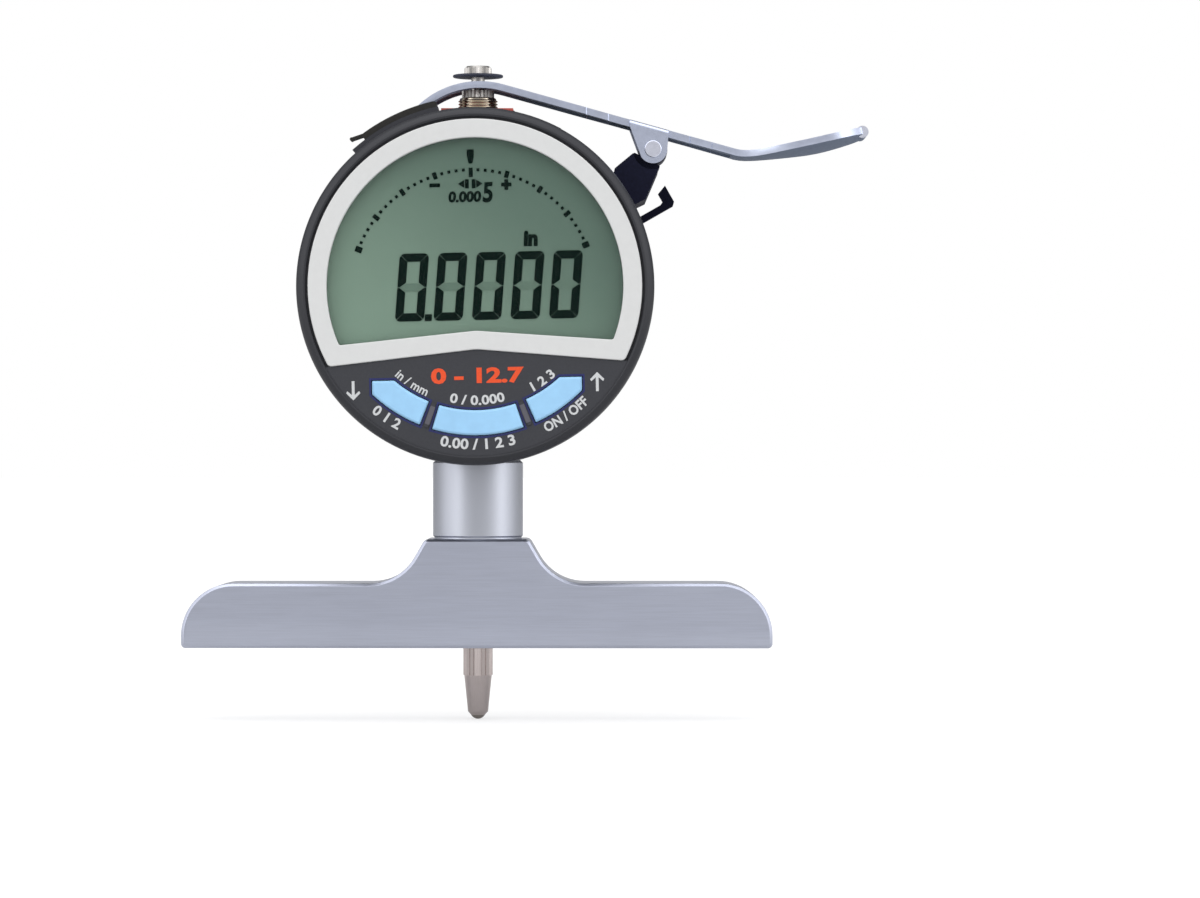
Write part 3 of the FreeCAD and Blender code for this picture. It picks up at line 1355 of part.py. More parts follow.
def strip_side(thickness, half_width, inner=0.0):
    """The lever's arm from the fork's end to the pad's bend, as a slab of one thickness."""
    path = lever_path()
    centre = path["arch_centre"]
    slope = math.radians(LEVER_SLOPE)
    drop = (thickness * math.sin(slope), thickness * math.cos(slope))
    end = path["bend"]
    low_radius = ARCH_RADIUS - thickness
    mid_angle = (LEVER_SLOPE - ARCH_END_ANGLE) / 2
    outline = Outline(*on_circle(centre, ARCH_RADIUS, -ARCH_END_ANGLE))
    outline.arc(on_circle(centre, ARCH_RADIUS, mid_angle), path["shoulder"])
    outline.line(*end)
    outline.line(end[0] - drop[0], end[1] - drop[1])
    outline.line(*on_circle(centre, low_radius, LEVER_SLOPE))
    outline.arc(
        on_circle(centre, low_radius, mid_angle), on_circle(centre, low_radius, -ARCH_END_ANGLE)
    )
    return outline.extrude(inner, half_width)


def pad_station(share):
    """Top-line point and slope of the thumb pad at a share of its length."""
    path = lever_path()
    bend_length = PAD_BEND_RADIUS * math.radians(LEVER_SLOPE + PAD_START_SLOPE)
    pad_length = PAD_RADIUS * math.radians(PAD_END_SLOPE - PAD_START_SLOPE)
    along = share * (bend_length + pad_length)
    if along <= bend_length:
        slope = -LEVER_SLOPE + math.degrees(along / PAD_BEND_RADIUS)
        centre, radius = path["bend_centre"], PAD_BEND_RADIUS
    else:
        slope = PAD_START_SLOPE + math.degrees((along - bend_length) / PAD_RADIUS)
        centre, radius = path["pad_centre"], PAD_RADIUS
    turn = math.radians(slope)
    return (centre[0] + radius * math.sin(turn), centre[1] - radius * math.cos(turn)), turn


def pad_half_width(share):
    """Widens from the arm to the pad's full width, then closes in a curve towards its bead."""
    widen = min(1.0, share / 0.5)
    width = LEVER_HALF_WIDTH + (PAD_HALF_WIDTH - LEVER_HALF_WIDTH) * widen * widen * (3 - 2 * widen)
    tip = max(0.0, (share - 0.68) / 0.32)
    closed = 1 - (PAD_TIP_HALF_WIDTH / PAD_HALF_WIDTH) ** 2
    return width * math.sqrt(1 - closed * tip * tip)


def thumb_pad():
    """A dished pad lofted through curved sections across the lever."""
    sections = []
    for i in range(PAD_STATIONS):
        share = i / (PAD_STATIONS - 1)
        (x, z), turn = pad_station(share)
        half = pad_half_width(share)
        dish = 0.02 + PAD_DISH * min(1.0, share / 0.6) * half / PAD_HALF_WIDTH
        up = Vector(-math.sin(turn), 0, math.cos(turn))
        rim = Vector(x, 0, z)
        low = rim - up * dish
        thick = up * PAD_THICKNESS
        left = rim + Vector(0, -half, 0)
        right = rim + Vector(0, half, 0)
        top = Part.Arc(left, low, right).toShape()
        bottom = Part.Arc(right - thick, low - thick, left - thick).toShape()
        sides = [
            Part.LineSegment(right, right - thick).toShape(),
            Part.LineSegment(left - thick, left).toShape(),
        ]
        sections.append(Part.Wire([top, sides[0], bottom, sides[1]]))
    return Part.makeLoft(sections, True, False).fuse(pad_bead())


def pad_bead():
    """The rolled edge along the pad's tip."""
    (x, z), turn = pad_station(1.0)
    drop = PAD_BEAD_RADIUS - PAD_BEAD_RISE
    half = PAD_TIP_HALF_WIDTH
    return y_cylinder(
        PAD_BEAD_RADIUS, -half, half, x + drop * math.sin(turn), z - drop * math.cos(turn)
    )


def ear(side):
    """One ear, bent down from the strip's edge with a rounded bend."""
    slope = math.tan(math.radians(LEVER_SLOPE))
    shoulder = lever_path()["shoulder"]

    def top_z(x):
        return shoulder[1] - (x - shoulder[0]) * slope

    left_x = PIVOT_X - EAR_LEFT
    right_x = PIVOT_X + EAR_RIGHT
    low_left = on_circle((PIVOT_X, PIVOT_Z), EAR_RADIUS, -125)
    low = (PIVOT_X, PIVOT_Z - EAR_RADIUS)
    low_right = on_circle((PIVOT_X, PIVOT_Z), EAR_RADIUS, 100)
    outline = Outline(left_x, top_z(left_x))
    outline.line(left_x, top_z(left_x) - LEVER_LIP)
    outline.line(*low_left)
    outline.arc(low, low_right)
    outline.line(right_x, top_z(right_x))
    outer = EAR_INNER_Y + EAR_THICKNESS
    plate = outline.extrude(LEVER_HALF_WIDTH - LEVER_WEB, outer)
    bend = edges_near(
        plate,
        lambda e: abs(e.CenterOfMass.y - outer) < 0.01
        and abs(e.CenterOfMass.z - top_z(e.CenterOfMass.x)) < 0.01,
    )
    plate = plate.makeFillet(EAR_BEND_RADIUS, bend)
    hollow = outline_below_web(left_x, right_x, top_z)
    plate = plate.cut(hollow)
    plate = plate.cut(y_cylinder(RIVET_RADIUS, 0, outer + 1, PIVOT_X, PIVOT_Z))
    return plate if side > 0 else plate.mirror(Vector(0, 0, 0), Y_AXIS)


def outline_below_web(left_x, right_x, top_z):
    """What is hollow under the strip between the two ears."""
    web = LEVER_WEB / math.cos(math.radians(LEVER_SLOPE))
    depth = 10.0
    return polygon(
        [
            (left_x - 1, top_z(left_x - 1) - web),
            (right_x + 1, top_z(right_x + 1) - web),
            (right_x + 1, PIVOT_Z - depth),
            (left_x - 1, PIVOT_Z - depth),
        ],
        0,
        EAR_INNER_Y,
    )


def lever_plan(inset):
    """The strip's plan as an upright prism, narrowed beside the ears in two steps."""
    full = LEVER_HALF_WIDTH - inset
    shoulder = full - EAR_SHOULDER_DEPTH
    relief = full - EAR_RELIEF_DEPTH
    middle = (shoulder + relief) / 2
    left = PIVOT_X - EAR_LEFT
    right = PIVOT_X + EAR_RIGHT
    half_plan = [(-ARCH_RADIUS, full)]
    for edge, way in ((left, -1), (right, 1)):
        steps = [
            (edge, relief),
            (edge + way * EAR_RELIEF, relief),
            (edge + way * (EAR_RELIEF + EAR_SHOULDER_DEPTH), middle),
            (edge + way * (EAR_RELIEF + EAR_SHOULDER), shoulder),
            (edge + way * (EAR_RELIEF + EAR_SHOULDER + EAR_SHOULDER_DEPTH), full),
        ]
        half_plan += steps[::way]
    half_plan.append((PAD_BEND_X + 1, full))
    outline = Outline(*half_plan[0], "XY")
    for x, y in half_plan[1:] + [(x, -y) for x, y in half_plan[::-1]]:
        outline.line(x, y)
    low_z = PIVOT_Z - ARCH_RADIUS
    plan = outline.face().extrude(Vector(0, 0, ARCH_TOP_Z + 1 - low_z))
    plan.translate(Vector(0, 0, low_z))
    return plan


def lifting_lever():
    width = LEVER_HALF_WIDTH + 1
    web = strip_side(LEVER_WEB, width, -width).common(lever_plan(0))
    channel = strip_side(LEVER_LIP, width, -width).common(lever_plan(0))
    lever = web.fuse(channel.cut(lever_plan(LEVER_WEB)))
    lever = lever.fuse([ear(-1), ear(1), thumb_pad()])
    slot = block(
        -ARCH_RADIUS - 1,
        FORK_SLOT_END_X - FORK_SLOT_HALF_WIDTH,
        -FORK_SLOT_HALF_WIDTH,
        FORK_SLOT_HALF_WIDTH,
        ARCH_TOP_Z - ARCH_RADIUS,
        ARCH_TOP_Z + 1,
    )
    slot_end = z_cylinder(
        FORK_SLOT_HALF_WIDTH,
        ARCH_TOP_Z - ARCH_RADIUS,
        ARCH_TOP_Z + 1,
        FORK_SLOT_END_X - FORK_SLOT_HALF_WIDTH,
    )
    return lever.cut(slot.fuse(slot_end)).removeSplitter()


def pivot_rivet():
    outer = EAR_INNER_Y + EAR_THICKNESS
    shank = y_cylinder(RIVET_RADIUS, -outer, outer, PIVOT_X, PIVOT_Z)
    heads = [
        y_cylinder(RIVET_HEAD_RADIUS, -outer - RIVET_HEAD_HEIGHT, -outer, PIVOT_X, PIVOT_Z),
        y_cylinder(RIVET_HEAD_RADIUS, outer, outer + RIVET_HEAD_HEIGHT, PIVOT_X, PIVOT_Z),
    ]
    return shank.fuse(heads)


# Lever bracket


def bracket_arm():
    """The arm that rises beside the case from its back to the lug."""
    half = BRACKET_ARM_HALF_WIDTH
    arm = polygon(
        [
            (PIVOT_X - ARM_NECK_LEFT, PIVOT_Z - ARM_SHOULDER_DROP),
            (PIVOT_X - ARM_ELBOW_REACH, PIVOT_Z - ARM_ELBOW_DROP),
            (PIVOT_X - ARM_HEEL_REACH, PIVOT_Z - ARM_HEEL_DROP),
            (PIVOT_X - ARM_TOE_REACH, PIVOT_Z - ARM_TOE_DROP),
            (PIVOT_X - ARM_WAIST_REACH, PIVOT_Z - ARM_WAIST_DROP),
            (PIVOT_X + ARM_NECK_RIGHT, PIVOT_Z - ARM_NECK_DROP),
        ],
        -half,
        BRACKET_BACK_Y,
    )
    room = y_cylinder(CASE_RADIUS + BRACKET_CASE_GAP, -half - 1, COVER_BACK_Y, 0, DIAL_Z)
    arm = arm.cut(room)
    for front, back in ((-half - 1, -BRACKET_LUG_HALF_WIDTH), (BRACKET_LUG_HALF_WIDTH, BRACKET_BACK_Y + 1)):
        arm = arm.cut(y_cylinder(BRACKET_EAR_RECESS_RADIUS, front, back, PIVOT_X, PIVOT_Z))
    return arm


def strap_point(along, across):
    """A point on the back strap, measured from the pivot along the strap and across it."""
    turn = math.radians(STRAP_ANGLE)
    side = STRAP_OFFSET + across
    x = PIVOT_X - along * math.sin(turn) + side * math.cos(turn)
    z = PIVOT_Z - along * math.cos(turn) - side * math.sin(turn)
    return (x, z)


def bracket_strap():
    """The strap on the rear cover, with a round end at its far screw."""
    half = STRAP_HALF_WIDTH
    outline = Outline(*strap_point(STRAP_START, -half))
    outline.line(*strap_point(STRAP_SIDE_START, half))
    outline.line(*strap_point(STRAP_SCREW_FAR, half))
    outline.arc(strap_point(STRAP_SCREW_FAR + half, 0), strap_point(STRAP_SCREW_FAR, -half))
    strap = outline.extrude(COVER_BACK_Y, BRACKET_BACK_Y)
    ear_room = BRACKET_EAR_RECESS_RADIUS
    return strap.cut(y_cylinder(ear_room, COVER_BACK_Y - 1, BRACKET_BACK_Y + 1, PIVOT_X, PIVOT_Z))


def bracket_hook():
    """The small upturned hook beside the case."""
    outline = Outline(-HOOK_ROOT, 0)
    outline.line(HOOK_LENGTH - HOOK_CORNER, 0)
    outline.line(HOOK_LENGTH, HOOK_CORNER)
    outline.line(HOOK_LENGTH, HOOK_HEIGHT)
    outline.line(HOOK_LENGTH - HOOK_CLAW, HOOK_HEIGHT - HOOK_TIP_BEVEL)
    outline.line(HOOK_LENGTH - HOOK_CLAW, HOOK_STRIP + HOOK_CORNER / 2)
    outline.line(HOOK_LENGTH - HOOK_CLAW - HOOK_CORNER, HOOK_STRIP)
    outline.line(-HOOK_ROOT, HOOK_STRIP)
    hook = outline.extrude(COVER_BACK_Y, BRACKET_BACK_Y)
    hook.rotate(Vector(0, 0, 0), Y_AXIS, -HOOK_TILT)
    x, z = on_circle((0, DIAL_Z), CASE_RADIUS + HOOK_PLACE_RISE, HOOK_PLACE_ANGLE)
    hook.translate(Vector(x, 0, z))
    return hook


def lever_bracket():
    """A black casting: a strap on the rear cover, an arm beside the case, a lug and a hook."""
    lug_half = BRACKET_LUG_HALF_WIDTH
    lug = y_cylinder(BRACKET_LUG_RADIUS, -lug_half, lug_half, PIVOT_X, PIVOT_Z)
    bracket = bracket_arm().fuse([lug, bracket_strap(), bracket_hook()])
    bore = y_cylinder(RIVET_RADIUS + RUNNING, -lug_half - 1, lug_half + 1, PIVOT_X, PIVOT_Z)
    bracket = bracket.cut(bore)
    for x, z in bracket_screw_places():
        hole = y_cylinder(BRACKET_SCREW_RADIUS + FIT, COVER_BACK_Y - 1, BRACKET_BACK_Y + 1, x, z)
        bracket = bracket.cut(hole)
    return bracket.removeSplitter()


def bracket_screw_places():
    return [strap_point(along, 0) for along in (STRAP_SCREW_NEAR, STRAP_SCREW_FAR)]


def bracket_screws():
    head_back = BRACKET_BACK_Y + BRACKET_SCREW_HEAD_HEIGHT
    low_y = BRACKET_BACK_Y - BRACKET_SCREW_LENGTH
    reach = BRACKET_SCREW_HEAD_RADIUS + 1
    half = SCREW_SLOT_WIDTH / 2
    slot_y = head_back - SCREW_SLOT_DEPTH
    screws = []
    for x, z in bracket_screw_places():
        shank = y_cylinder(BRACKET_SCREW_RADIUS, low_y, BRACKET_BACK_Y, x, z)
        head = y_cylinder(BRACKET_SCREW_HEAD_RADIUS, BRACKET_BACK_Y, head_back, x, z)
        slot = block(x - reach, x + reach, slot_y, head_back + 1, z - half, z + half)
        screws.append(shank.fuse(head).cut(slot))
    return Part.Compound(screws)


PARTS = {
    "base_beam": base_beam,
    "holder_sleeve": holder_sleeve,
    "clamp_screw": clamp_screw,
    "stem": stem,
    "lower_bush": lower_bush,
    "case_body": case_body,
    "rear_cover": rear_cover,
    "cover_gasket": lambda: gasket_ring(CASE_BACK_Y),
    "cover_screws": cover_screws,
    "top_bush": top_bush,
    "seal_plate": seal_plate,
    "data_port": data_port,
    "port_cap": port_cap,
    "battery_drawer": battery_drawer,
    "coin_cell": coin_cell,
    "battery_contact": battery_contact,
    "bezel_ring": bezel_ring,
    "front_panel": front_panel,
    "display_frame": display_frame,
    "window_lens": window_lens,
    "lcd_panel": lcd_panel,
    "contact_strips": contact_strips,
    "main_board": main_board,
    "controller_chip": controller_chip,
    "key_mat": key_mat,
    "head_plate": head_plate,
    "head_seal": head_seal,
    "hub_ring": hub_ring,
    "head_screws": head_screws,
    "button_left": lambda: button(-1),
    "button_centre": lambda: button(0),
    "button_right": lambda: button(1),
    "spindle_rod": spindle_rod,
    "contact_point": contact_point,
    "contact_ball": contact_ball,
    "lift_collar": lift_collar,
    "lift_washer": lift_washer,
    "cap_screw": cap_screw,
    "scale_block": scale_block,
    "main_scale": main_scale,
    "guide_pin": guide_pin,
    "return_spring": return_spring,
    "inner_frame": inner_frame,
    "detector_board": detector_board,
    "guide_rail": guide_rail,
    "lifting_lever": lifting_lever,
    "pivot_rivet": pivot_rivet,
    "lever_bracket": lever_bracket,
    "bracket_screws": bracket_screws,
}


def main():
    os.makedirs("parts", exist_ok=True)
    for name, make in PARTS.items():
        make().exportStep(f"parts/{name}.step")


main()
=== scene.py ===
import math

import bmesh
import bpy
from bpy.props import FloatProperty, FloatVectorProperty, IntProperty, PointerProperty
from mathutils import Matrix, Vector


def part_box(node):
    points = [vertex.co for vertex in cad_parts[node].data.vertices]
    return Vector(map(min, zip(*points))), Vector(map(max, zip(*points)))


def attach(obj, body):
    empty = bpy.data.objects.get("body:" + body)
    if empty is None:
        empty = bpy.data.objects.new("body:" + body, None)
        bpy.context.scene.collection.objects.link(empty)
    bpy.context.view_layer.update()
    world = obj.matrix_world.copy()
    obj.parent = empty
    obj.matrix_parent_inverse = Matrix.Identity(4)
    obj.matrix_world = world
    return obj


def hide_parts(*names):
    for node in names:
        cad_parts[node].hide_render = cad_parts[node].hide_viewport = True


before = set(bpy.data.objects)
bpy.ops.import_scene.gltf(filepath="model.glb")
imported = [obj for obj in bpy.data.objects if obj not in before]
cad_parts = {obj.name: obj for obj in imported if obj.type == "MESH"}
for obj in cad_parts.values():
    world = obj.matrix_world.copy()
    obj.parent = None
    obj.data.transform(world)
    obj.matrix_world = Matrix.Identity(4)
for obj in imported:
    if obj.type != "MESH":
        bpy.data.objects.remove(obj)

bl_info = {
    "name": "Digital depth gauge",
    "version": (1, 0, 0),
    "blender": (4, 5, 0),
    "location": "View3D > Sidebar > Depth gauge",
    "description": "The looks of a digital depth gauge, built around its fixed solids",
    "category": "Object",
}

MM = 0.001
# The dial's middle, how far the head leans, and how far its buttons stand out
DIAL_HEIGHT = 61.8
DIAL_LEAN = math.radians(-1.2)
BUTTON_RISE = 0.4
FACE = Matrix.Translation((0, 0, DIAL_HEIGHT * MM)) @ Matrix.Rotation(DIAL_LEAN, 4, "Y")
PANEL_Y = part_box("button_left")[0].y + BUTTON_RISE * MM
GLASS_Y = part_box("lcd_panel")[0].y
# Spread of a finish's roughness, and how tool marks stretch in it
SATIN_SPREAD = 0.05
ALONG_X = (0.03, 1, 1)
ALONG_Z = (1, 1, 0.05)
AROUND_Z = (0.05, 0.05, 1)
# How a bevel rounds an edge
ROUND = {"affect": "EDGES", "profile": 0.5, "material": -1}
ROUND_SEGMENTS = 2
# Height of a capital letter in type of size 1
CAPITAL_HEIGHT = 0.7
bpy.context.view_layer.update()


def linear(code):
    """An sRGB hex colour as the linear values that the shaders take."""
    parts = [int(code[i : i + 2], 16) / 255 for i in (1, 3, 5)]
    return tuple(c / 12.92 if c <= 0.04045 else ((c + 0.055) / 1.055) ** 2.4 for c in parts)


# Settings that a user would change


class GaugeSizes(bpy.types.PropertyGroup):
    edge_round: FloatProperty(
        name="Edge round", description="Round on the machined edges", default=0.12 * MM, unit="LENGTH"
    )
    moulded_round: FloatProperty(
        name="Moulded round", description="Round on the moulded edges", default=0.22 * MM, unit="LENGTH"
    )
    thread_pitch: FloatProperty(
        name="Thread pitch", description="Pitch of the top bush's thread", default=0.5 * MM, unit="LENGTH"
    )
    grip_depth: FloatProperty(
        name="Grip depth", description="Depth of the bezel's grip grooves", default=0.22 * MM, unit="LENGTH"
    )
    grip_pitch: IntProperty(
        name="Grip pitch", description="Degrees from one grip groove to the next", default=2, min=1
    )
    digit_pitch: FloatProperty(
        name="Digit pitch", description="From one large digit to the next", default=6.53 * MM, unit="LENGTH"
    )
    ink_thickness: FloatProperty(
        name="Ink thickness", description="Thickness of the printed marks", default=0.03 * MM, unit="LENGTH"
    )


class GaugeColours(bpy.types.PropertyGroup):
    steel: FloatVectorProperty(
        name="Steel", description="Ground and turned steel", default=linear("#D6DBEC"), subtype="COLOR"
    )
    bezel: FloatVectorProperty(
        name="Bezel", description="Bezel ring and panel", default=linear("#303136"), subtype="COLOR"
    )
    surround: FloatVectorProperty(
        name="Surround", description="Frame around the display", default=linear("#DEDFDF"), subtype="COLOR"
    )
    display: FloatVectorProperty(
        name="Display", description="Lower left of the glass", default=linear("#799282"), subtype="COLOR"
    )
    # Painted shade: the display glass darkens to this colour towards its upper right
    display_painted_shade: FloatVectorProperty(
        name="Display shade",
        description="Upper right of the glass",
        default=linear("#5A7165"),
        subtype="COLOR",
    )
    keys: FloatVectorProperty(
        name="Keys", description="Three buttons", default=linear("#A4D6FD"), subtype="COLOR"
    )
    accent: FloatVectorProperty(
        name="Accent", description="Orange marks on the panel", default=linear("#F0501C"), subtype="COLOR"
    )


def sizes():
    return bpy.context.scene.gauge_sizes


def colours():
    return bpy.context.scene.gauge_colours


# Nodes and materials


def add_node(tree, kind, settings=None, links=None):
    """Adds a shader node of a kind, sets its options and sockets, and links its inputs to other nodes."""
    node = tree.nodes.new("ShaderNode" + kind)
    for name, value in (settings or {}).items():
        if isinstance(name, str) and hasattr(node, name):
            setattr(node, name, value)
        else:
            node.inputs[name].default_value = value
    for socket, source in (links or {}).items():
        tree.links.new(source, node.inputs[socket])
    return node


def new_material(name, settings):
    """A material with its own surface shader and Object coordinates."""
    old = bpy.data.materials.get(name)
    if old:
        return old, None, None, None
    material = bpy.data.materials.new(name)
    material.use_nodes = True
    tree = material.node_tree
    tree.nodes.clear()
    shader = add_node(tree, "BsdfPrincipled", settings)
    add_node(tree, "OutputMaterial", links={"Surface": shader.outputs["BSDF"]})
    place = add_node(tree, "TexCoord").outputs["Object"]
    return material, tree, shader, place


def send_to_surface(tree, socket):
    """Puts another shader before the material's output."""
    output = next(n for n in tree.nodes if n.type == "OUTPUT_MATERIAL")
    tree.links.new(socket, output.inputs["Surface"])


def rays_of(tree, first, second):
    """1 for rays of either of two kinds, and 0 for the others."""
    path = add_node(tree, "LightPath")
    either = {0: path.outputs[first], 1: path.outputs[second]}
    return add_node(tree, "Math", {"operation": "MAXIMUM"}, either).outputs["Value"]


def rgba(colour, gain=1.0):
    return (*[min(1.0, c * gain) for c in colour[:3]], 1.0)


def mottled(tree, place, colour, scale_mm, low=0.94, high=1.05, stretch=(1, 1, 1), detail=2.0):
    """Slow or fine variation of a colour, with the size of its patches in millimetres."""
    mapping = add_node(tree, "Mapping", {"Scale": stretch}, {"Vector": place})
    settings = {"Scale": 1 / (scale_mm * MM), "Detail": detail, "Roughness": 0.55}
    noise = add_node(tree, "TexNoise", settings, {"Vector": mapping.outputs["Vector"]})
    ramp = add_node(tree, "ValToRGB", links={"Fac": noise.outputs["Fac"]})
    for stop, position, gain in zip(ramp.color_ramp.elements, (0.3, 0.7), (low, high)):
        stop.position = position
        stop.color = rgba(colour, gain)
    return noise.outputs["Fac"], ramp.outputs["Color"]


def satin_relief(tree, shader, grain, roughness, depth_mm):
    """Lets a noise vary the roughness a little and raise the surface by a few micrometres."""
    spread = {"To Min": roughness - SATIN_SPREAD, "To Max": roughness + SATIN_SPREAD}
    satin = add_node(tree, "MapRange", spread, {"Value": grain})
    relief = add_node(tree, "Bump", {"Distance": depth_mm * MM}, {"Height": grain})
    tree.links.new(satin.outputs["Result"], shader.inputs["Roughness"])
    tree.links.new(relief.outputs["Normal"], shader.inputs["Normal"])


def metal(name, colour, roughness, lines=None, line_mm=0.12, depth_mm=0.004, patch_mm=9.0, streak=0.04):
    """Bare metal. lines is how the tool marks stretch along X, Y and Z, with small numbers for long marks."""
    material, tree, shader, place = new_material(name, {"Metallic": 1.0})
    if tree is None:
        return material
    tint = mottled(tree, place, colour, patch_mm, 0.97, 1.03)[1]
    detail = 2.0 if lines is None else 3.0
    fine, marks = mottled(tree, place, (1, 1, 1), line_mm, 1 - 2 * streak, 1.0, lines or (1, 1, 1), detail)
    options = {"data_type": "RGBA", "blend_type": "MULTIPLY", 0: 1.0}
    both = add_node(tree, "Mix", options, {6: tint, 7: marks})
    tree.links.new(both.outputs[2], shader.inputs["Base Color"])
    satin_relief(tree, shader, fine, roughness, depth_mm)
    return material


def moulded(name, colour, roughness, grain_mm=0.35, depth_mm=0.01, low=0.95, high=1.05, extra=None):
    """Moulded, cast or painted surface with a fine grain."""
    material, tree, shader, place = new_material(name, extra or {})
    if tree is None:
        return material
    grain, tint = mottled(tree, place, colour, grain_mm, low, high)
    tree.links.new(tint, shader.inputs["Base Color"])
    satin_relief(tree, shader, grain, roughness, depth_mm)
    return material


def banded(tree, shader, place, scale_mm, direction, first, second):
    """Straight bands of two colours. They come about a third of the texture's scale apart."""
    settings = {"Scale": 1 / (scale_mm * MM), "wave_type": "BANDS", "bands_direction": direction}
    wave = add_node(tree, "TexWave", settings, {"Vector": place})
    ramp = add_node(tree, "ValToRGB", links={"Fac": wave.outputs["Fac"]})
    ramp.color_ramp.elements[0].color = rgba(linear(first))
    ramp.color_ramp.elements[1].color = rgba(linear(second))
    tree.links.new(ramp.outputs["Color"], shader.inputs["Base Color"])
    return wave.outputs["Fac"], ramp.color_ramp


def ground_tool_steel():
    """Ground and lapped tool steel: a satin face with fine straight grinding lines along the base."""
    darker = rgba(colours().steel, gain=0.79)
    return metal("ground_tool_steel", darker, 0.36, ALONG_X, line_mm=0.22, depth_mm=0.002, patch_mm=30.0)


def turned_steel():
    """Turned and polished steel: fine rings around the sleeve, so that light draws soft upright bands."""
    marks = {"line_mm": 0.2, "depth_mm": 0.0015, "patch_mm": 20.0, "streak": 0.03}
    return metal("turned_steel", colours().steel, 0.2, AROUND_Z, **marks)


def pressed_stainless():
    """Pressed stainless strip, tumbled after bending: a soft even shine."""
    marks = {"line_mm": 1.2, "depth_mm": 0.002, "patch_mm": 6.0, "streak": 0.02}
    return metal("pressed_stainless_steel", linear("#CCD3E6"), 0.36, **marks)


def painted_underside_shade():
    """Painted shade for the strip's underside and the inside of its channel: a dull, non-metal blue-grey with
    no mirror in it.
    """
    extra = {"Specular IOR Level": 0.1}
    return moulded(
        "painted_underside_shade", linear("#788295"), 0.75, grain_mm=0.8, depth_mm=0.003, low=0.93, extra=extra
    )


def peened_steel_and_painted_highlight():
    """Cut and peened steel of the rivet's head, brighter than the strip; on the side ends of the pad's rolled
    edge the same bright steel is a painted highlight.
    """
    return metal(
        "peened_steel_and_painted_highlight", linear("#E8EBF8"), 0.34, line_mm=0.8, depth_mm=0.002, patch_mm=3.0, streak=0.02
    )


def hardened_spindle_steel():
    """Centreless-ground hardened steel: bright, with barely visible rings."""
    return metal(
        "hardened_spindle_steel", linear("#C4C7CE"), 0.2, lines=AROUND_Z, line_mm=0.1, depth_mm=0.002
    )


def tungsten_carbide():
    """Sintered tungsten carbide: a warm dark grey with a close polish."""
    return metal("tungsten_carbide", linear("#8F8984"), 0.24, line_mm=0.15, depth_mm=0.002)


def fluted_point_steel():
    """Hardened steel with ground flutes: warm grey with lines along the point."""
    return metal("fluted_point_steel", linear("#BBB1AF"), 0.16, lines=ALONG_Z, depth_mm=0.003)


def nickel_plated_brass():
    """Nickel plate over brass: a warm grey from the thin plate."""
    return metal("nickel_plated_brass", linear("#C2B7A6"), 0.2, lines=AROUND_Z, line_mm=0.2, depth_mm=0.003)


def bright_nickel():
    """Bright nickel plate on a knurled screw: pale, with small sharp glints."""
    return metal("bright_nickel", linear("#BFBCB8"), 0.34, line_mm=0.2, depth_mm=0.003)


def blued_spring_steel():
    """Blued spring steel: nearly black, with a soft shine."""
    return metal("blued_spring_steel", linear("#444753"), 0.34, line_mm=0.2)


def phosphated_steel():
    """Phosphated spring steel: dark blue-grey and matt, as the oil lies in its fine crystals."""
    grain = {"grain_mm": 0.3, "depth_mm": 0.004, "low": 0.9, "high": 1.1}
    return moulded("phosphated_steel", linear("#3B3E4B"), 0.6, extra={"Specular IOR Level": 0.2}, **grain)


def zinc_plated_steel():
    """Zinc plate on small screws: a pale grey with a soft spangle."""
    return metal("zinc_plated_steel", linear("#B5B8BC"), 0.32, line_mm=0.25)


def patented_spring_wire():
    """Drawn music wire: grey with a light oily shine."""
    return metal("music_wire", linear("#8D9096"), 0.3, line_mm=0.15, depth_mm=0.003)


def milled_aluminium():
    """Milled aluminium: pale, with the cutter's fine parallel lines."""
    return metal(
        "milled_aluminium", linear("#C6C8CB"), 0.38, lines=(1, 1, 0.08), line_mm=0.2, depth_mm=0.005
    )


def gold_plate():
    """Thin gold plate on a spring contact: warm and bright."""
    return metal("gold_plate", linear("#D9B25F"), 0.24, line_mm=0.2, depth_mm=0.002)


def nickel_plated_can():
    """Nickel-plated steel of a button cell: bright and slightly hazy."""
    return metal("nickel_plated_can", linear("#CBCBC8"), 0.26, line_mm=0.4, depth_mm=0.002)


def painted_die_casting():
    """Stove-enamelled aluminium die casting: dark grey, with a fine even texture of the paint."""
    extra = {"Specular IOR Level": 0.3}
    return moulded(
        "stove_enamel_on_die_casting", linear("#3C3D43"), 0.46, grain_mm=0.4, depth_mm=0.012, extra=extra
    )


def glass_filled_nylon():
    """Moulded glass-filled nylon: a matt dark grey with a spark-eroded grain that breaks up highlights."""
    extra = {"Specular IOR Level": 0.3}
    return moulded("glass_filled_nylon", colours().bezel, 0.42, grain_mm=0.3, extra=extra)


def matt_polycarbonate():
    """Polycarbonate front plate with a fine matt skin, slightly bluer than the ring around it."""
    extra = {"Specular IOR Level": 0.25}
    return moulded("matt_polycarbonate", linear("#3F4045"), 0.5, grain_mm=0.3, depth_mm=0.007, extra=extra)


def pale_abs():
    """Moulded ABS in pale grey: smooth, with a gentle sheen."""
    return moulded("pale_abs", colours().surround, 0.36, grain_mm=1.2, depth_mm=0.003, low=0.985, high=1.01)


def key_silicone():
    """Silicone rubber in sky blue: soft to the eye, a little lighter where it thins at the edges."""
    extra = {"Specular IOR Level": 0.35, "Sheen Weight": 0.15, "Sheen Roughness": 0.4}
    return moulded(
        "key_silicone", colours().keys, 0.45, grain_mm=2.2, depth_mm=0.004, low=0.96, high=1.03, extra=extra
    )


def port_rubber():
    """Moulded EPDM rubber: a warm black with a dusty, uneven surface."""
    extra = {"Specular IOR Level": 0.2, "Sheen Weight": 0.05, "Sheen Roughness": 0.5}
    return moulded(
        "epdm_rubber", linear("#302F2D"), 0.6, grain_mm=0.5, depth_mm=0.012, low=0.88, high=1.12, extra=extra
    )


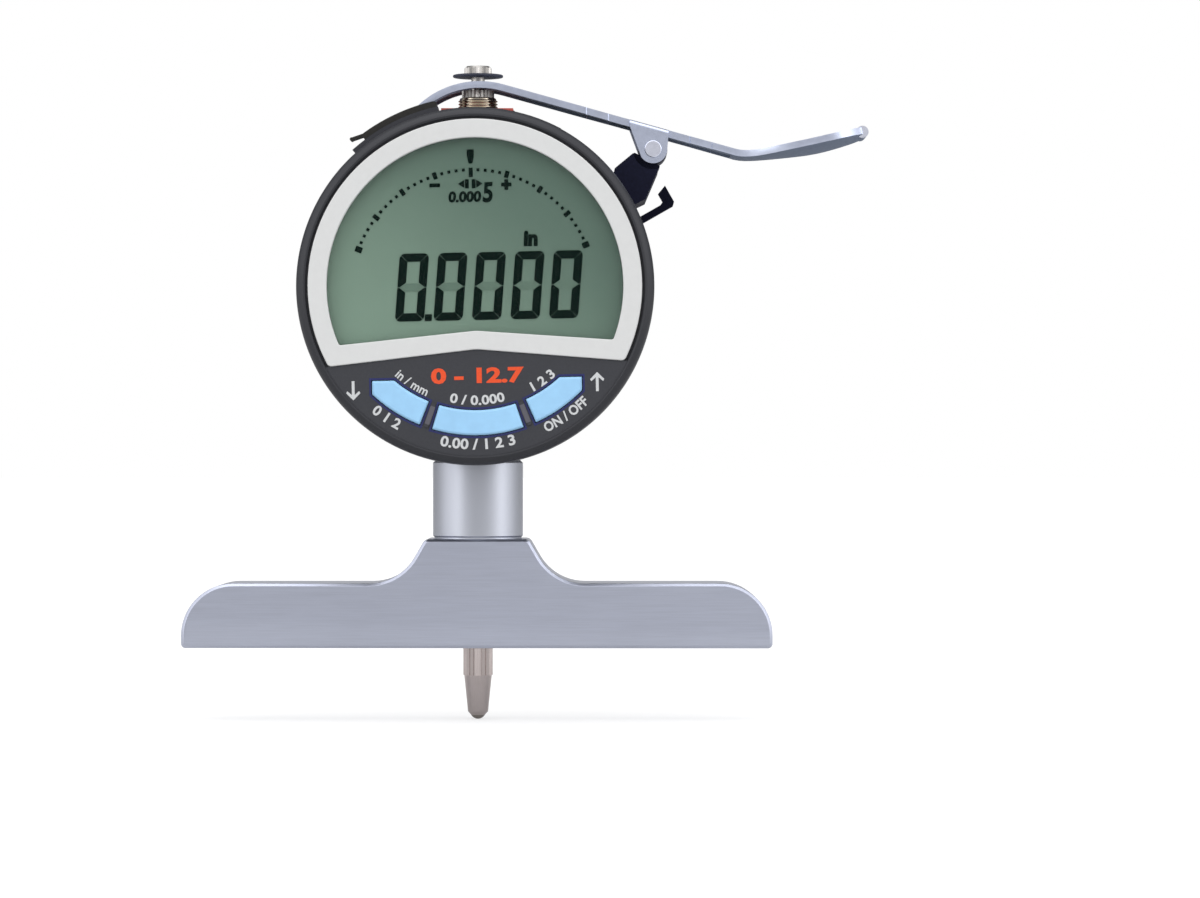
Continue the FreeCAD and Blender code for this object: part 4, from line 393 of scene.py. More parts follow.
def silicone_seal():
    """Flat red silicone seal: matt, with a slightly chalky edge."""
    return moulded("red_silicone_seal", linear("#C45548"), 0.55, grain_mm=0.6, depth_mm=0.006)


def black_casting():
    """Black oxide on a small zinc casting: blue-black and matt, with a fine tooth."""
    grain = {"grain_mm": 0.45, "depth_mm": 0.008, "low": 0.85, "high": 1.2}
    return moulded("black_oxide_casting", linear("#15172A"), 0.6, extra={"Specular IOR Level": 0.1}, **grain)


def glass_epoxy_board():
    """Glass-epoxy circuit board: green solder mask over the weave of the glass cloth."""
    material, tree, shader, place = new_material("glass_epoxy_board", {"Roughness": 0.4})
    if tree is None:
        return material
    weave = banded(tree, shader, place, 1.6, "X", "#1E5A38", "#2C7048")[0]
    relief = add_node(tree, "Bump", {"Distance": 0.01 * MM}, {"Height": weave})
    tree.links.new(relief.outputs["Normal"], shader.inputs["Normal"])
    return material


def epoxy_package():
    """Moulded epoxy of a chip: matt black with a fine grain."""
    return moulded("epoxy_package", linear("#1C1C1E"), 0.5, grain_mm=0.25, depth_mm=0.006)


def natural_acetal():
    """Acetal in its natural white: smooth and slightly waxy."""
    return moulded("natural_acetal", linear("#E2E0D8"), 0.4, grain_mm=1.5, depth_mm=0.004)


def clear_key_mat():
    """Translucent silicone of the key mat: milky, with a soft skin."""
    return moulded("milky_silicone", linear("#CFD4D6"), 0.5, grain_mm=1.0, depth_mm=0.005)


def conductive_rubber():
    """Striped conductive rubber: pink-grey carbon layers a fraction of a millimetre apart."""
    material, tree, shader, place = new_material("striped_conductive_rubber", {"Roughness": 0.6})
    if tree is None:
        return material
    banded(tree, shader, place, 0.8, "X", "#2A2A2C", "#C79A98")
    return material


def ruled_glass():
    """Float glass with a chromium line pattern every 0.5 mm, coarser than the real one so that it shows."""
    material, tree, shader, place = new_material("ruled_glass", {"Roughness": 0.12})
    if tree is None:
        return material
    ramp = banded(tree, shader, place, 1.6, "Z", "#A9BDB6", "#4C5452")[1]
    ramp.interpolation = "CONSTANT"
    ramp.elements[1].position = 0.5
    return material


def display_glass():
    """Reflective liquid-crystal glass: grey-green, with painted shade that darkens it from its lower left to
    its upper right.
    """
    finish = {"Roughness": 0.3, "Specular IOR Level": 0.2}
    material, tree, shader, place = new_material("liquid_crystal_glass", finish)
    if tree is None:
        return material
    # Painted shade: the glass fades from its own colour at the lower left to the darker colour at the upper
    # right
    centred = add_node(tree, "Mapping", {"Location": (0, 0, -DIAL_HEIGHT * MM)}, {"Vector": place})
    to_upper_right = {"operation": "DOT_PRODUCT", 1: (0.6, 0, 0.8)}
    uphill = add_node(tree, "VectorMath", to_upper_right, {0: centred.outputs["Vector"]})
    fade = {"interpolation_type": "SMOOTHSTEP", "From Min": -16 * MM, "From Max": 20 * MM}
    spread = add_node(tree, "MapRange", fade, {"Value": uphill.outputs["Value"]})
    tint = mottled(tree, place, colours().display, 14, 0.97, 1.03)[1]
    shaded = {"data_type": "RGBA", 7: rgba(colours().display_painted_shade)}
    mix = add_node(tree, "Mix", shaded, {0: spread.outputs["Result"], 6: tint})
    tree.links.new(mix.outputs[2], shader.inputs["Base Color"])
    return material


def acrylic_pane():
    """Cast acrylic window. Its anti-glare coat is why the IOR is low: it mirrors little and hides nothing."""
    settings = {"Base Color": (1, 1, 1, 1), "Roughness": 0.02, "IOR": 1.12, "Transmission Weight": 1.0}
    material, tree, shader, _ = new_material("acrylic_pane", settings)
    if tree is None:
        return material
    clear = add_node(tree, "BsdfTransparent")
    passes = rays_of(tree, "Is Shadow Ray", "Is Diffuse Ray")
    shaders = {0: passes, 1: shader.outputs["BSDF"], 2: clear.outputs["BSDF"]}
    send_to_surface(tree, add_node(tree, "MixShader", links=shaders).outputs["Shader"])
    return material


def white_lacquered_board():
    """Pale lacquered board: matt, white to the camera and through glass, and a soft grey in the steel."""
    albedo, white_glow, glossy_glow = 0.5, 0.55, 0.2
    matt = {"Base Color": (albedo, albedo, albedo, 1), "Roughness": 0.9, "Specular IOR Level": 0.0}
    material, tree, board, _ = new_material("white_lacquered_board", matt)
    if tree is None:
        return material
    seen = rays_of(tree, "Is Camera Ray", "Is Transmission Ray")
    white = add_node(tree, "Math", {"operation": "MULTIPLY", 1: white_glow}, {0: seen})
    path = add_node(tree, "LightPath")
    added = {0: path.outputs["Is Glossy Ray"], 2: white.outputs["Value"]}
    glossy = add_node(tree, "Math", {"operation": "MULTIPLY_ADD", 1: glossy_glow}, added)
    strength = {"Strength": glossy.outputs["Value"]}
    glow = add_node(tree, "Emission", {"Color": (1, 1, 1, 1)}, strength)
    both = {0: board.outputs["BSDF"], 1: glow.outputs["Emission"]}
    send_to_surface(tree, add_node(tree, "AddShader", links=both).outputs["Shader"])
    return material


def ink_and_painted_highlight(name, colour, roughness=0.5):
    """Screen-printed ink: flat colour with small specks where the screen's mesh left it thin. The ribs'
    painted highlight uses the same look.
    """
    return moulded(name, colour, roughness, grain_mm=0.25, depth_mm=0.002, low=0.94, high=1.04)


# Mesh helpers


def welded(node, keep=None):
    """A merged copy of a CAD node's mesh, with its flat faces whole again."""
    bm = bmesh.new()
    bm.from_mesh(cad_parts[node].data)
    bmesh.ops.remove_doubles(bm, verts=bm.verts, dist=0.001 * MM)
    bmesh.ops.dissolve_limit(bm, angle_limit=math.radians(0.4), verts=bm.verts, edges=bm.edges)
    if keep:
        gone = [f for f in bm.faces if not keep(f)]
        bmesh.ops.delete(bm, geom=gone, context="FACES")
    return bm


def turned(profile, y_axis=False, centre=(0, 0, 0), steps=128):
    """A ring or disc spun from a closed profile in millimetres: radius, and height along the axis."""
    bm = bmesh.new()
    centre = Vector(centre)
    verts = []
    for radius, height in profile:
        place = Vector((radius, height, 0)) if y_axis else Vector((radius, 0, height))
        verts.append(bm.verts.new((place + centre) * MM))
    edges = [bm.edges.new((verts[i - 1], verts[i])) for i in range(len(verts))]
    axis = (0, 1, 0) if y_axis else (0, 0, 1)
    bmesh.ops.spin(
        bm,
        geom=verts + edges,
        cent=centre * MM,
        axis=axis,
        dvec=(0, 0, 0),
        angle=math.tau,
        steps=steps,
        use_merge=True,
        use_duplicate=False,
    )
    bmesh.ops.remove_doubles(bm, verts=bm.verts, dist=0.0005 * MM)
    bmesh.ops.recalc_face_normals(bm, faces=bm.faces)
    return bm


def finish_piece(name, bm, material, body, nodes=(), sharp=32.0, round_edge=0.0):
    """Makes the object, with smooth shading between its sharp edges and a small round along them."""
    mesh = bpy.data.meshes.new(name)
    bm.to_mesh(mesh)
    bm.free()
    if "custom_normal" in mesh.attributes:
        mesh.attributes.remove(mesh.attributes["custom_normal"])
    while mesh.uv_layers:
        mesh.uv_layers.remove(mesh.uv_layers[0])
    if isinstance(material, tuple):
        for item in material:
            mesh.materials.append(item)
    else:
        mesh.materials.clear()
        mesh.materials.append(material)
        mesh.polygons.foreach_set("material_index", [0] * len(mesh.polygons))
    mesh.polygons.foreach_set("use_smooth", [True] * len(mesh.polygons))
    mesh.set_sharp_from_angle(angle=math.radians(sharp))
    piece = bpy.data.objects.new(name, mesh)
    bpy.context.scene.collection.objects.link(piece)
    if round_edge:
        edge = piece.modifiers.new("edge_round", "BEVEL")
        edge.width = round_edge
        edge.segments = ROUND_SEGMENTS
        edge.limit_method = "ANGLE"
        edge.angle_limit = math.radians(sharp)
        edge.harden_normals = True
    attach(piece, body)
    if nodes:
        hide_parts(*nodes)
    return piece


def dress(node, material):
    """Gives a CAD node that stays its material."""
    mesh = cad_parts[node].data
    mesh.materials.clear()
    mesh.materials.append(material)
    mesh.polygons.foreach_set("material_index", [0] * len(mesh.polygons))


def copy_of(node, material, body, round_edge=0.0, sharp=32.0):
    return finish_piece(node + "_skin", welded(node), material, body, (node,), sharp, round_edge)


def thicken(bm, faces, depth):
    """Pulls flat faces back along Y into thin plates."""
    grown = bmesh.ops.extrude_face_region(bm, geom=list(faces))
    moved = [g for g in grown["geom"] if isinstance(g, bmesh.types.BMVert)]
    bmesh.ops.translate(bm, verts=moved, vec=(0, depth, 0))


def add_part(bm, part):
    """Moves one mesh into another."""
    carrier = bpy.data.meshes.new("carrier")
    part.to_mesh(carrier)
    part.free()
    bm.from_mesh(carrier)
    bpy.data.meshes.remove(carrier)


def both_sides(half):
    """A whole outline from its right half, from the top down."""
    return half + [(-x, y) for x, y in reversed(half) if x]


def plate(bm, outline, low_y, high_y):
    """Adds a thin plate from its outline in the face's millimetres: right, and up from the dial's middle."""
    verts = [bm.verts.new(FACE @ Vector((u * MM, low_y, v * MM))) for u, v in outline]
    thicken(bm, [bm.faces.new(verts)], high_y - low_y)


def finish_marks(name, bm, material):
    bmesh.ops.recalc_face_normals(bm, faces=bm.faces)
    return finish_piece(name, bm, material, "display_head")


def lettering(bm, text, size_mm, low_y, depth, at=None, radius=0.0, turn=0.0, bold=0.0, squeeze=1.0, slant=0):
    """Adds raised characters: straight at a place, or bent round below the dial's middle."""
    curve = bpy.data.curves.new("characters", "FONT")
    curve.body = text
    curve.size = 1.0
    curve.align_x = "CENTER"
    curve.align_y = "CENTER"
    curve.offset = bold
    curve.resolution_u = 3
    carrier = bpy.data.objects.new("characters", curve)
    bpy.context.scene.collection.objects.link(carrier)
    bpy.context.view_layer.update()
    mesh = bpy.data.meshes.new_from_object(carrier)
    bpy.data.objects.remove(carrier)
    bpy.data.curves.remove(curve)
    part = bmesh.new()
    part.from_mesh(mesh)
    bpy.data.meshes.remove(mesh)
    scale = size_mm / CAPITAL_HEIGHT
    for vert in part.verts:
        x = (vert.co.x + vert.co.y * slant) * scale * squeeze
        y = vert.co.y * scale
        if at:
            u, v = at[0] + x, at[1] + y
        else:
            around = x / radius + math.radians(turn)
            u, v = (radius - y) * math.sin(around), (y - radius) * math.cos(around)
        vert.co = FACE @ Vector((u * MM, low_y, v * MM))
    thicken(part, part.faces, depth)
    bmesh.ops.recalc_face_normals(part, faces=part.faces)
    add_part(bm, part)


# Operators


class GaugeOperator(bpy.types.Operator):
    bl_options = {"REGISTER", "UNDO"}


class GAUGE_OT_base(GaugeOperator):
    """Base beam, clamping sleeve, stem and clamp screw"""

    bl_idname = "gauge.base"
    bl_label = "Base and sleeve"

    def execute(self, context):
        edge = sizes().edge_round
        self.beam(edge)
        copy_of("holder_sleeve", turned_steel(), "gauge_body", edge)
        copy_of("stem", hardened_spindle_steel(), "gauge_body")
        copy_of("clamp_screw", blued_spring_steel(), "gauge_body")
        dress("lower_bush", nickel_plated_brass())
        return {"FINISHED"}

    def beam(self, edge):
        """The base, with its two lower corners and the rim of its measuring face eased on the stone."""
        bm = welded("base_beam")
        low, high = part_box("base_beam")
        corner_round, rim_round, reach = 0.6 * MM, 0.2 * MM, 0.5 * MM

        def at_corner(v):
            return min(v.co.x - low.x, high.x - v.co.x) < reach and v.co.z - low.z < reach

        def same_end(e):
            return e.verts[0].co.x * e.verts[1].co.x > 0

        corners = [e for e in bm.edges if all(at_corner(v) for v in e.verts) and same_end(e)]
        bmesh.ops.bevel(bm, geom=corners, offset=corner_round, segments=4, **ROUND)
        rim = [
            e
            for e in bm.edges
            if len(e.link_faces) == 2
            and all(v.co.z - low.z < corner_round + 0.15 * MM for v in e.verts)
            and any(abs(f.normal.y) > 0.99 for f in e.link_faces)
            and any(f.normal.z < -0.2 for f in e.link_faces)
        ]
        bmesh.ops.bevel(bm, geom=rim, offset=rim_round, segments=1, clamp_overlap=True, **ROUND)
        steel, nodes = ground_tool_steel(), ("base_beam",)
        finish_piece("base_beam_skin", bm, steel, "gauge_body", nodes, round_edge=edge)


class GAUGE_OT_case(GaugeOperator):
    """Indicator case, rear cover, seals and screws"""

    bl_idname = "gauge.case"
    bl_label = "Case and rear cover"

    def execute(self, context):
        edge = sizes().moulded_round
        copy_of("case_body", painted_die_casting(), "gauge_body", edge)
        copy_of("rear_cover", painted_die_casting(), "gauge_body", edge)
        copy_of("cover_screws", zinc_plated_steel(), "gauge_body")
        copy_of("cover_gasket", silicone_seal(), "gauge_body")
        copy_of("seal_plate", silicone_seal(), "gauge_body")
        copy_of("data_port", epoxy_package(), "gauge_body")
        copy_of("port_cap", port_rubber(), "data_port_cap", edge)
        return {"FINISHED"}


class GAUGE_OT_top_bush(GaugeOperator):
    """Threaded guide bush on top of the case"""

    bl_idname = "gauge.top_bush"
    bl_label = "Threaded top bush"

    def execute(self, context):
        low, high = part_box("top_bush")
        bottom, top = low.z / MM, high.z / MM
        flange = high.x / MM
        pitch = sizes().thread_pitch / MM
        crest, root, bore = 3.43, 3.17, 2.29
        seat = bottom + 1.2
        neck = top - 0.35
        profile = [(bore, bottom), (flange, bottom), (flange, seat), (crest, seat)]
        z = neck - 4 * pitch
        profile.append((crest, z - pitch * 0.4))
        while z < neck - pitch * 0.5:
            profile += [(root, z), (root, z + pitch * 0.12)]
            profile += [(crest, z + pitch * 0.48), (crest, z + pitch * 0.64)]
            z += pitch
        profile += [(root, z), (root, top - 0.16), (root - 0.16, top), (bore, top)]
        bm = turned(profile, steps=96)
        finish_piece("top_bush_thread", bm, nickel_plated_brass(), "gauge_body", ("top_bush",))
        return {"FINISHED"}


class GAUGE_OT_bezel(GaugeOperator):
    """Bezel ring with its grip grooves"""

    bl_idname = "gauge.bezel"
    bl_label = "Bezel ring"

    def execute(self, context):
        low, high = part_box("bezel_ring")
        front, back = low.y / MM, high.y / MM
        outer, lip, ledge = 30.4, 28.9, 27.9
        ledge_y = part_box("front_panel")[1].y / MM
        lip_y = PANEL_Y / MM - 0.12
        # Between these two rows of the outer wall lie the grooves, whose rows alone move in
        band_front, band_back = front + 2.7, back - 0.9
        profile = [(outer - 0.3, back), (outer, back - 0.3), (outer, back - 0.7), (outer, band_back)]
        profile += [(outer, band_front), (outer, front + 2.3)]
        nose = 1.9
        for step in range(1, 5):
            angle = math.radians(15 * step)
            profile.append((outer - nose * (1 - math.cos(angle)), front + nose * (1 - math.sin(angle))))
        # The lip reaches over the panel's rim and leaves a fine step there
        rim = lip - 0.12
        profile += [(lip + 0.2, front + 0.1), (lip, lip_y - 0.02), (rim, lip_y), (rim, lip_y + 0.11)]
        profile += [(lip, lip_y + 0.11), (lip, ledge_y), (ledge, ledge_y)]
        bm = turned(profile, y_axis=True, centre=(0, 0, DIAL_HEIGHT), steps=360)
        self.grooves(bm, outer, band_front - 0.1, band_back + 0.1)
        finish_piece("bezel_grip_ring", bm, glass_filled_nylon(), "display_head", ("bezel_ring",), 25)
        return {"FINISHED"}

    def grooves(self, bm, outer, band_front, band_back):
        """Grip grooves in four sectors: top, bottom, left and right."""
        depth = sizes().grip_depth
        pitch = sizes().grip_pitch
        half_sector = 15
        middle = Vector((0, 0, DIAL_HEIGHT * MM))
        for vert in bm.verts:
            out = Vector((vert.co.x, 0, vert.co.z)) - middle
            if out.length < (outer - 0.01) * MM or not band_front < vert.co.y / MM < band_back:
                continue
            angle = round(math.degrees(math.atan2(out.x, out.z))) % 360
            sector = min(abs(angle % 90), 90 - angle % 90)
            if sector <= half_sector and angle % pitch:
                vert.co -= out.normalized() * depth


class GAUGE_OT_face(GaugeOperator):
    """Front panel, display surround and window"""

    bl_idname = "gauge.face"
    bl_label = "Panel and surround"

    def execute(self, context):
        edge = sizes().moulded_round
        copy_of("front_panel", matt_polycarbonate(), "display_head", edge * 0.6)
        copy_of("display_frame", pale_abs(), "display_head", edge)
        pane = welded("window_lens")
        # The pane's back is drawn forward, so that the display's marks have air before them
        near, air = 0.5 * MM, 0.7 * MM
        for vert in pane.verts:
            if vert.co.y > GLASS_Y - near:
                vert.co.y = GLASS_Y - air
        finish_piece("window_pane", pane, acrylic_pane(), "display_head", ("window_lens",))
        copy_of("lcd_panel", display_glass(), "display_head")
        return {"FINISHED"}


class GAUGE_OT_buttons(GaugeOperator):
    """Three rubber buttons and their printed outlines"""

    bl_idname = "gauge.buttons"
    bl_label = "Buttons"

    def execute(self, context):
        outline = bmesh.new()
        ink = sizes().ink_thickness
        round_edge, past_gap, line_width = 0.14 * MM, 0.45 * MM, 0.32 * MM
        even = {"use_even_offset": True}
        for side in ("left", "centre", "right"):
            node = "button_" + side
            copy_of(node, key_silicone(), side + "_button", round_edge, 40)
            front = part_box(node)[0].y
            rim = welded(node, lambda f: f.normal.y < -0.99 and f.calc_center_median().y < front + 0.01 * MM)
            # A negative inset grows the outline: past the button's chamfer and gap, then by the line's width
            past = bmesh.ops.inset_individual(rim, faces=rim.faces, thickness=-past_gap, **even)
            inner = [f for f in rim.faces if f not in past["faces"]]
            bmesh.ops.delete(rim, geom=past["faces"], context="FACES")
            line = bmesh.ops.inset_individual(rim, faces=inner, thickness=-line_width, **even)
            middle = [f for f in rim.faces if f not in line["faces"]]
            bmesh.ops.delete(rim, geom=middle, context="FACES")
            for vert in rim.verts:
                vert.co.y = PANEL_Y - ink
            thicken(rim, rim.faces, ink)
            add_part(outline, rim)
        navy = ink_and_painted_highlight("navy_ink", linear("#1C2460"))
        finish_marks("button_outlines", outline, navy)
        return {"FINISHED"}


class GAUGE_OT_panel_marks(GaugeOperator):
    """Arrows, numbers and switch words printed on the panel"""

    bl_idname = "gauge.panel_marks"
    bl_label = "Panel marks"

    def execute(self, context):
        depth = sizes().ink_thickness
        front = PANEL_Y - depth
        white = bmesh.new()
        outline = both_sides([(0, 1.65), (1.2, 0.45), (1.0, 0.1), (0.24, 0.75), (0.24, -1.6)])
        for u, v, up in ((-20.95, -17.3, -1), (20.35, -16.65, 1)):
            plate(white, [(u + x, v + y * up) for x, y in outline], front, PANEL_Y)
        above, below = 19.45, 26.9
        marks = (
            ("in / mm", 1.5, above + 0.3, -34, 0.02, 0.95),
            ("0 / 0.000", 1.55, above, 0, 0.03, 1.18),
            ("1 2 3", 1.55, above + 0.3, 34, 0.03, 1.1),
            ("0 1 2", 1.7, below, -35, 0.03, 1.05),
            ("0.00 / 1 2 3", 1.7, below, 0, 0.03, 1.15),
            ("ON / OFF", 1.6, below, 34, 0.03, 0.9),
        )
        for text, size, radius, turn, bold, squeeze in marks:
            lettering(white, text, size, front, depth, radius=radius, turn=turn, bold=bold, squeeze=squeeze)
        finish_marks("panel_marks_white", white, ink_and_painted_highlight("white_ink", linear("#D3D5D7")))
        self.rib_painted_highlights(depth)
        accent = bmesh.new()
        lettering(accent, "0 - 12.7", 2.4, front, depth, at=(0, -15.3), bold=0.04, squeeze=1.45)
        orange = ink_and_painted_highlight("orange_ink", colours().accent)
        finish_marks("panel_marks_orange", accent, orange)
        return {"FINISHED"}

    def rib_painted_highlights(self, depth):
        """Painted highlight: lighter grey plates on the tops of the two raised ribs between the buttons,
        where the ribs catch the light.
        """
        ribs = bmesh.new()
        inner, outer, half_width, rib_angle = 21.6, 24.8, 0.42, 20.3
        for side in (-1, 1):
            lean = math.radians(rib_angle) * side
            along = Vector((math.sin(lean), -math.cos(lean)))
            across = Vector((math.cos(lean), math.sin(lean))) * half_width
            ends = ((inner, -1), (inner, 1), (outer, 1), (outer, -1))
            outline = [tuple(along * reach + across * way) for reach, way in ends]
            plate(ribs, outline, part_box("front_panel")[0].y - depth, PANEL_Y)
        # The grey plates are painted highlight with the look of ink
        finish_marks("rib_painted_highlights", ribs, ink_and_painted_highlight("rib_highlight_paint", linear("#5B5A63")))


def segment_places(u, v, width, height, stroke, slant):
    """Outlines of a digit's six outer bars and its middle bar, leaning to the right by slant."""
    gap, corner, mitre = 0.03, 0.75, 0.25
    bend_far, bend_near = 0.3, 0.2
    tip, shoulder = 0.3, stroke + 0.15
    left, right = u, u + width
    top, low, middle = v + height, v, v + height / 2
    cut = stroke * 0.55

    def lean(points):
        return [(x + (y - low) * slant, y) for x, y in points]

    def below(points):
        return [(x, 2 * middle - y) for x, y in points]

    def cap(edge, sign):
        inward = ((corner, 0), (bend_far, bend_near), (mitre, mitre))
        return [(edge + sign * x, top - y) for x, y in inward]

    bars = {
        "top": [
            *cap(left, 1)[::-1], *cap(right, -1),
            (right - stroke, top - stroke), (left + stroke, top - stroke),
        ],
        "middle": [
            (left + gap + tip, middle), (left + shoulder, middle + stroke / 2),
            (right - shoulder, middle + stroke / 2), (right - gap - tip, middle),
            (right - shoulder, middle - stroke / 2), (left + shoulder, middle - stroke / 2),
        ],
    }
    bars["low"] = below(bars["top"])
    for side, edge, sign in (("left", left, 1), ("right", right, -1)):
        inner = edge + sign * stroke
        bars["upper_" + side] = [
            (edge + sign * bend_near, top - bend_far - gap), (edge, top - corner), (edge, middle + gap * 2.6),
            (edge + sign * 0.35, middle + gap * 1.6), (inner, middle + cut + gap),
            (inner, top - stroke - gap * 1.4),
        ]
        bars["lower_" + side] = below(bars["upper_" + side])
    return {name: lean(points) for name, points in bars.items()}


class GAUGE_OT_display(GaugeOperator):
    """Digits, dotted scale and signs on the display glass"""

    bl_idname = "gauge.display"
    bl_label = "Display digits"

    def execute(self, context):
        front, back = GLASS_Y - 0.08 * MM, GLASS_Y - 0.01 * MM
        lit, unlit = bmesh.new(), bmesh.new()
        self.digits(lit, unlit, front, back)
        self.scale(lit, front, back)
        self.signs(lit, front, back)
        depth = back - front
        lettering(lit, "0.000", 1.7, front, depth, at=(-1.45, 15.1), bold=0.045, squeeze=1.02, slant=0.08)
        lettering(lit, "5", 3.2, front, depth, at=(2.5, 15.7), bold=0.035, squeeze=0.8, slant=0.08)
        lettering(lit, "in", 2.5, front, depth, at=(9.6, 7.85), bold=0.055, squeeze=0.94, slant=0.06)
        smooth = {"grain_mm": 0.8, "depth_mm": 0.001, "extra": {"Specular IOR Level": 0.0}}
        shade = moulded("liquid_crystal_dark", linear("#0B1A16"), 0.5, **smooth)
        finish_marks("display_digits", lit, shade)
        pale = moulded("liquid_crystal_clear", linear("#647A6D"), 0.35, **smooth)
        finish_marks("display_unlit_bars", unlit, pale)
        return {"FINISHED"}

    def digits(self, lit, unlit, front, back):
        """Five large digits, with their decimal point."""
        width, height, stroke, slant = 4.95, 11.5, 1.4, 0.096
        first, low = -13.75, -height / 2
        for index in range(5):
            u = first + index * sizes().digit_pitch / MM
            for name, outline in segment_places(u, low, width, height, stroke, slant).items():
                plate(unlit if name == "middle" else lit, outline, front, back)
        dot, dot_top = -8.7, -4.6
        plate(lit, [(dot, low), (dot + 1.2, low), (dot + 1.3, dot_top), (dot + 0.1, dot_top)], front, back)

    def scale(self, lit, front, back):
        """Pointer, centre mark and the dotted scale, whose arc has its centre a little left and low."""
        middle = Vector((-0.36, -1.0))
        hand = [(0.58, 23.2), (0.58, 22.0), (0.32, 20.8)]
        mark = [(0.34, 20.1), (0.34, 18.5)]
        for half in (hand, mark):
            plate(lit, [(middle.x + x, y) for x, y in both_sides(half)], front, back)
        last, step = 20, 3.42
        small, large, end = (0.25, 20.5, 21.02), (0.36, 20.15, 21.35), (0.5, 20.1, 21.3)
        for index in range(-last, last + 1):
            if index == 0:
                continue
            half, inner, outer = end if abs(index) == last else large if index % 5 == 0 else small
            angle = math.radians(index * step)
            across = Vector((math.cos(angle), -math.sin(angle))) * half
            along = Vector((math.sin(angle), math.cos(angle)))
            ends = ((inner, -1), (inner, 1), (outer, 1), (outer, -1))
            plate(lit, [tuple(middle + along * reach + across * way) for reach, way in ends], front, back)

    def signs(self, lit, front, back):
        """Minus, plus and the two arrows under the centre mark."""

        def bar(left, low, right, high, lift=0.0):
            plate(lit, [(left, low), (right, low), (right, high), (left, high)], front - lift, back)

        bar(-7.4, 16.92, -5.6, 17.55)
        bar(4.75, 16.8, 6.5, 17.45)
        bar(5.3, 16.22, 5.95, 18.0, lift=0.01 * MM)
        block = [(0.25, 16.6), (0.9, 16.6), (0.9, 18.15), (0.25, 18.15)]
        head = [(1.02, 16.7), (2.1, 17.38), (1.02, 18.05)]
        arrows_middle = -0.48
        for side in (-1, 1):
            for outline in (block, head):
                plate(lit, [(arrows_middle + side * x, y) for x, y in outline][::side], front, back)


class GAUGE_OT_spindle(GaugeOperator):
    """Spindle, contact point, lift collar, washer and cap screw"""

    bl_idname = "gauge.spindle"
    bl_label = "Spindle"

    def execute(self, context):
        body = "spindle_unit"
        copy_of("spindle_rod", hardened_spindle_steel(), body)
        copy_of("contact_point", fluted_point_steel(), body)
        copy_of("contact_ball", tungsten_carbide(), body)
        copy_of("lift_collar", bright_nickel(), body)
        copy_of("lift_washer", phosphated_steel(), body)
        copy_of("cap_screw", bright_nickel(), body)
        return {"FINISHED"}


class GAUGE_OT_lever(GaugeOperator):
    """Lifting lever, its rivet and the bracket"""

    bl_idname = "gauge.lever"
    bl_label = "Lifting lever"

    def execute(self, context):
        edge = sizes().edge_round
        self.channel(edge)
        copy_of("pivot_rivet", peened_steel_and_painted_highlight(), "lift_lever", edge * 2)
        copy_of("lever_bracket", black_casting(), "gauge_body", edge * 2)
        copy_of("bracket_screws", zinc_plated_steel(), "gauge_body")
        return {"FINISHED"}

    def channel(self, edge):
        """The lever: rounded along its outer edges, with painted shade underneath and inside its channel, and
        a painted highlight on the side ends of its rolled bead.
        """
        bm = welded("lifting_lever")
        ear_reach, bead_reach = 1.2 * MM, 2.2 * MM
        low_round, top_round = 0.4 * MM, 0.14 * MM
        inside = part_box("pivot_rivet")[1].y - ear_reach
        bead_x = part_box("lifting_lever")[1].x - bead_reach

        def outer(e, up):
            if len(e.link_faces) != 2 or e.calc_length() < low_round:
                return False
            y = e.verts[0].co.y
            outward = any(f.normal.y * y > 0 and abs(f.normal.y) > 0.7 for f in e.link_faces)
            return outward and any(f.normal.z * up > 0.7 for f in e.link_faces)

        for up, width in ((-1, low_round), (1, top_round)):
            rims = [e for e in bm.edges if outer(e, up)]
            bmesh.ops.bevel(bm, geom=rims, offset=width, segments=3, clamp_overlap=True, **ROUND)
        # Faces that point down or into the channel take the painted shade, and the side ends of the bead take
        # the painted highlight
        for face in bm.faces:
            middle = face.calc_center_median()
            sideways = abs(face.normal.y) > 0.9
            inner_side = sideways and abs(middle.y) < inside and face.normal.y * middle.y < 0
            painted_shade = face.normal.z < -0.2 or inner_side
            bead_painted_highlight = sideways and middle.x > bead_x
            face.material_index = 2 if bead_painted_highlight else int(painted_shade)
        steels = (pressed_stainless(), painted_underside_shade(), peened_steel_and_painted_highlight())
        nodes = ("lifting_lever",)
        finish_piece("lever_strip", bm, steels, "lift_lever", nodes, round_edge=edge)


class GAUGE_OT_inside(GaugeOperator):
    """Finishes of the parts inside the case and the head"""

    bl_idname = "gauge.inside"
    bl_label = "Inner parts"

    def execute(self, context):
        finishes = {
            milled_aluminium: ("inner_frame", "head_plate", "hub_ring"),
            glass_epoxy_board: ("detector_board", "main_board"),
            epoxy_package: ("controller_chip",),
            natural_acetal: ("guide_rail", "scale_block"),
            clear_key_mat: ("key_mat",),
            conductive_rubber: ("contact_strips",),
            ruled_glass: ("main_scale",),
            hardened_spindle_steel: ("guide_pin",),
            patented_spring_wire: ("return_spring",),
            gold_plate: ("battery_contact",),
            nickel_plated_can: ("coin_cell",),
            silicone_seal: ("head_seal",),
            zinc_plated_steel: ("head_screws",),
        }
        for finish, nodes in finishes.items():
            for node in nodes:
                dress(node, finish())
        copy_of("battery_drawer", glass_filled_nylon(), "battery_tray", sizes().edge_round)
        return {"FINISHED"}


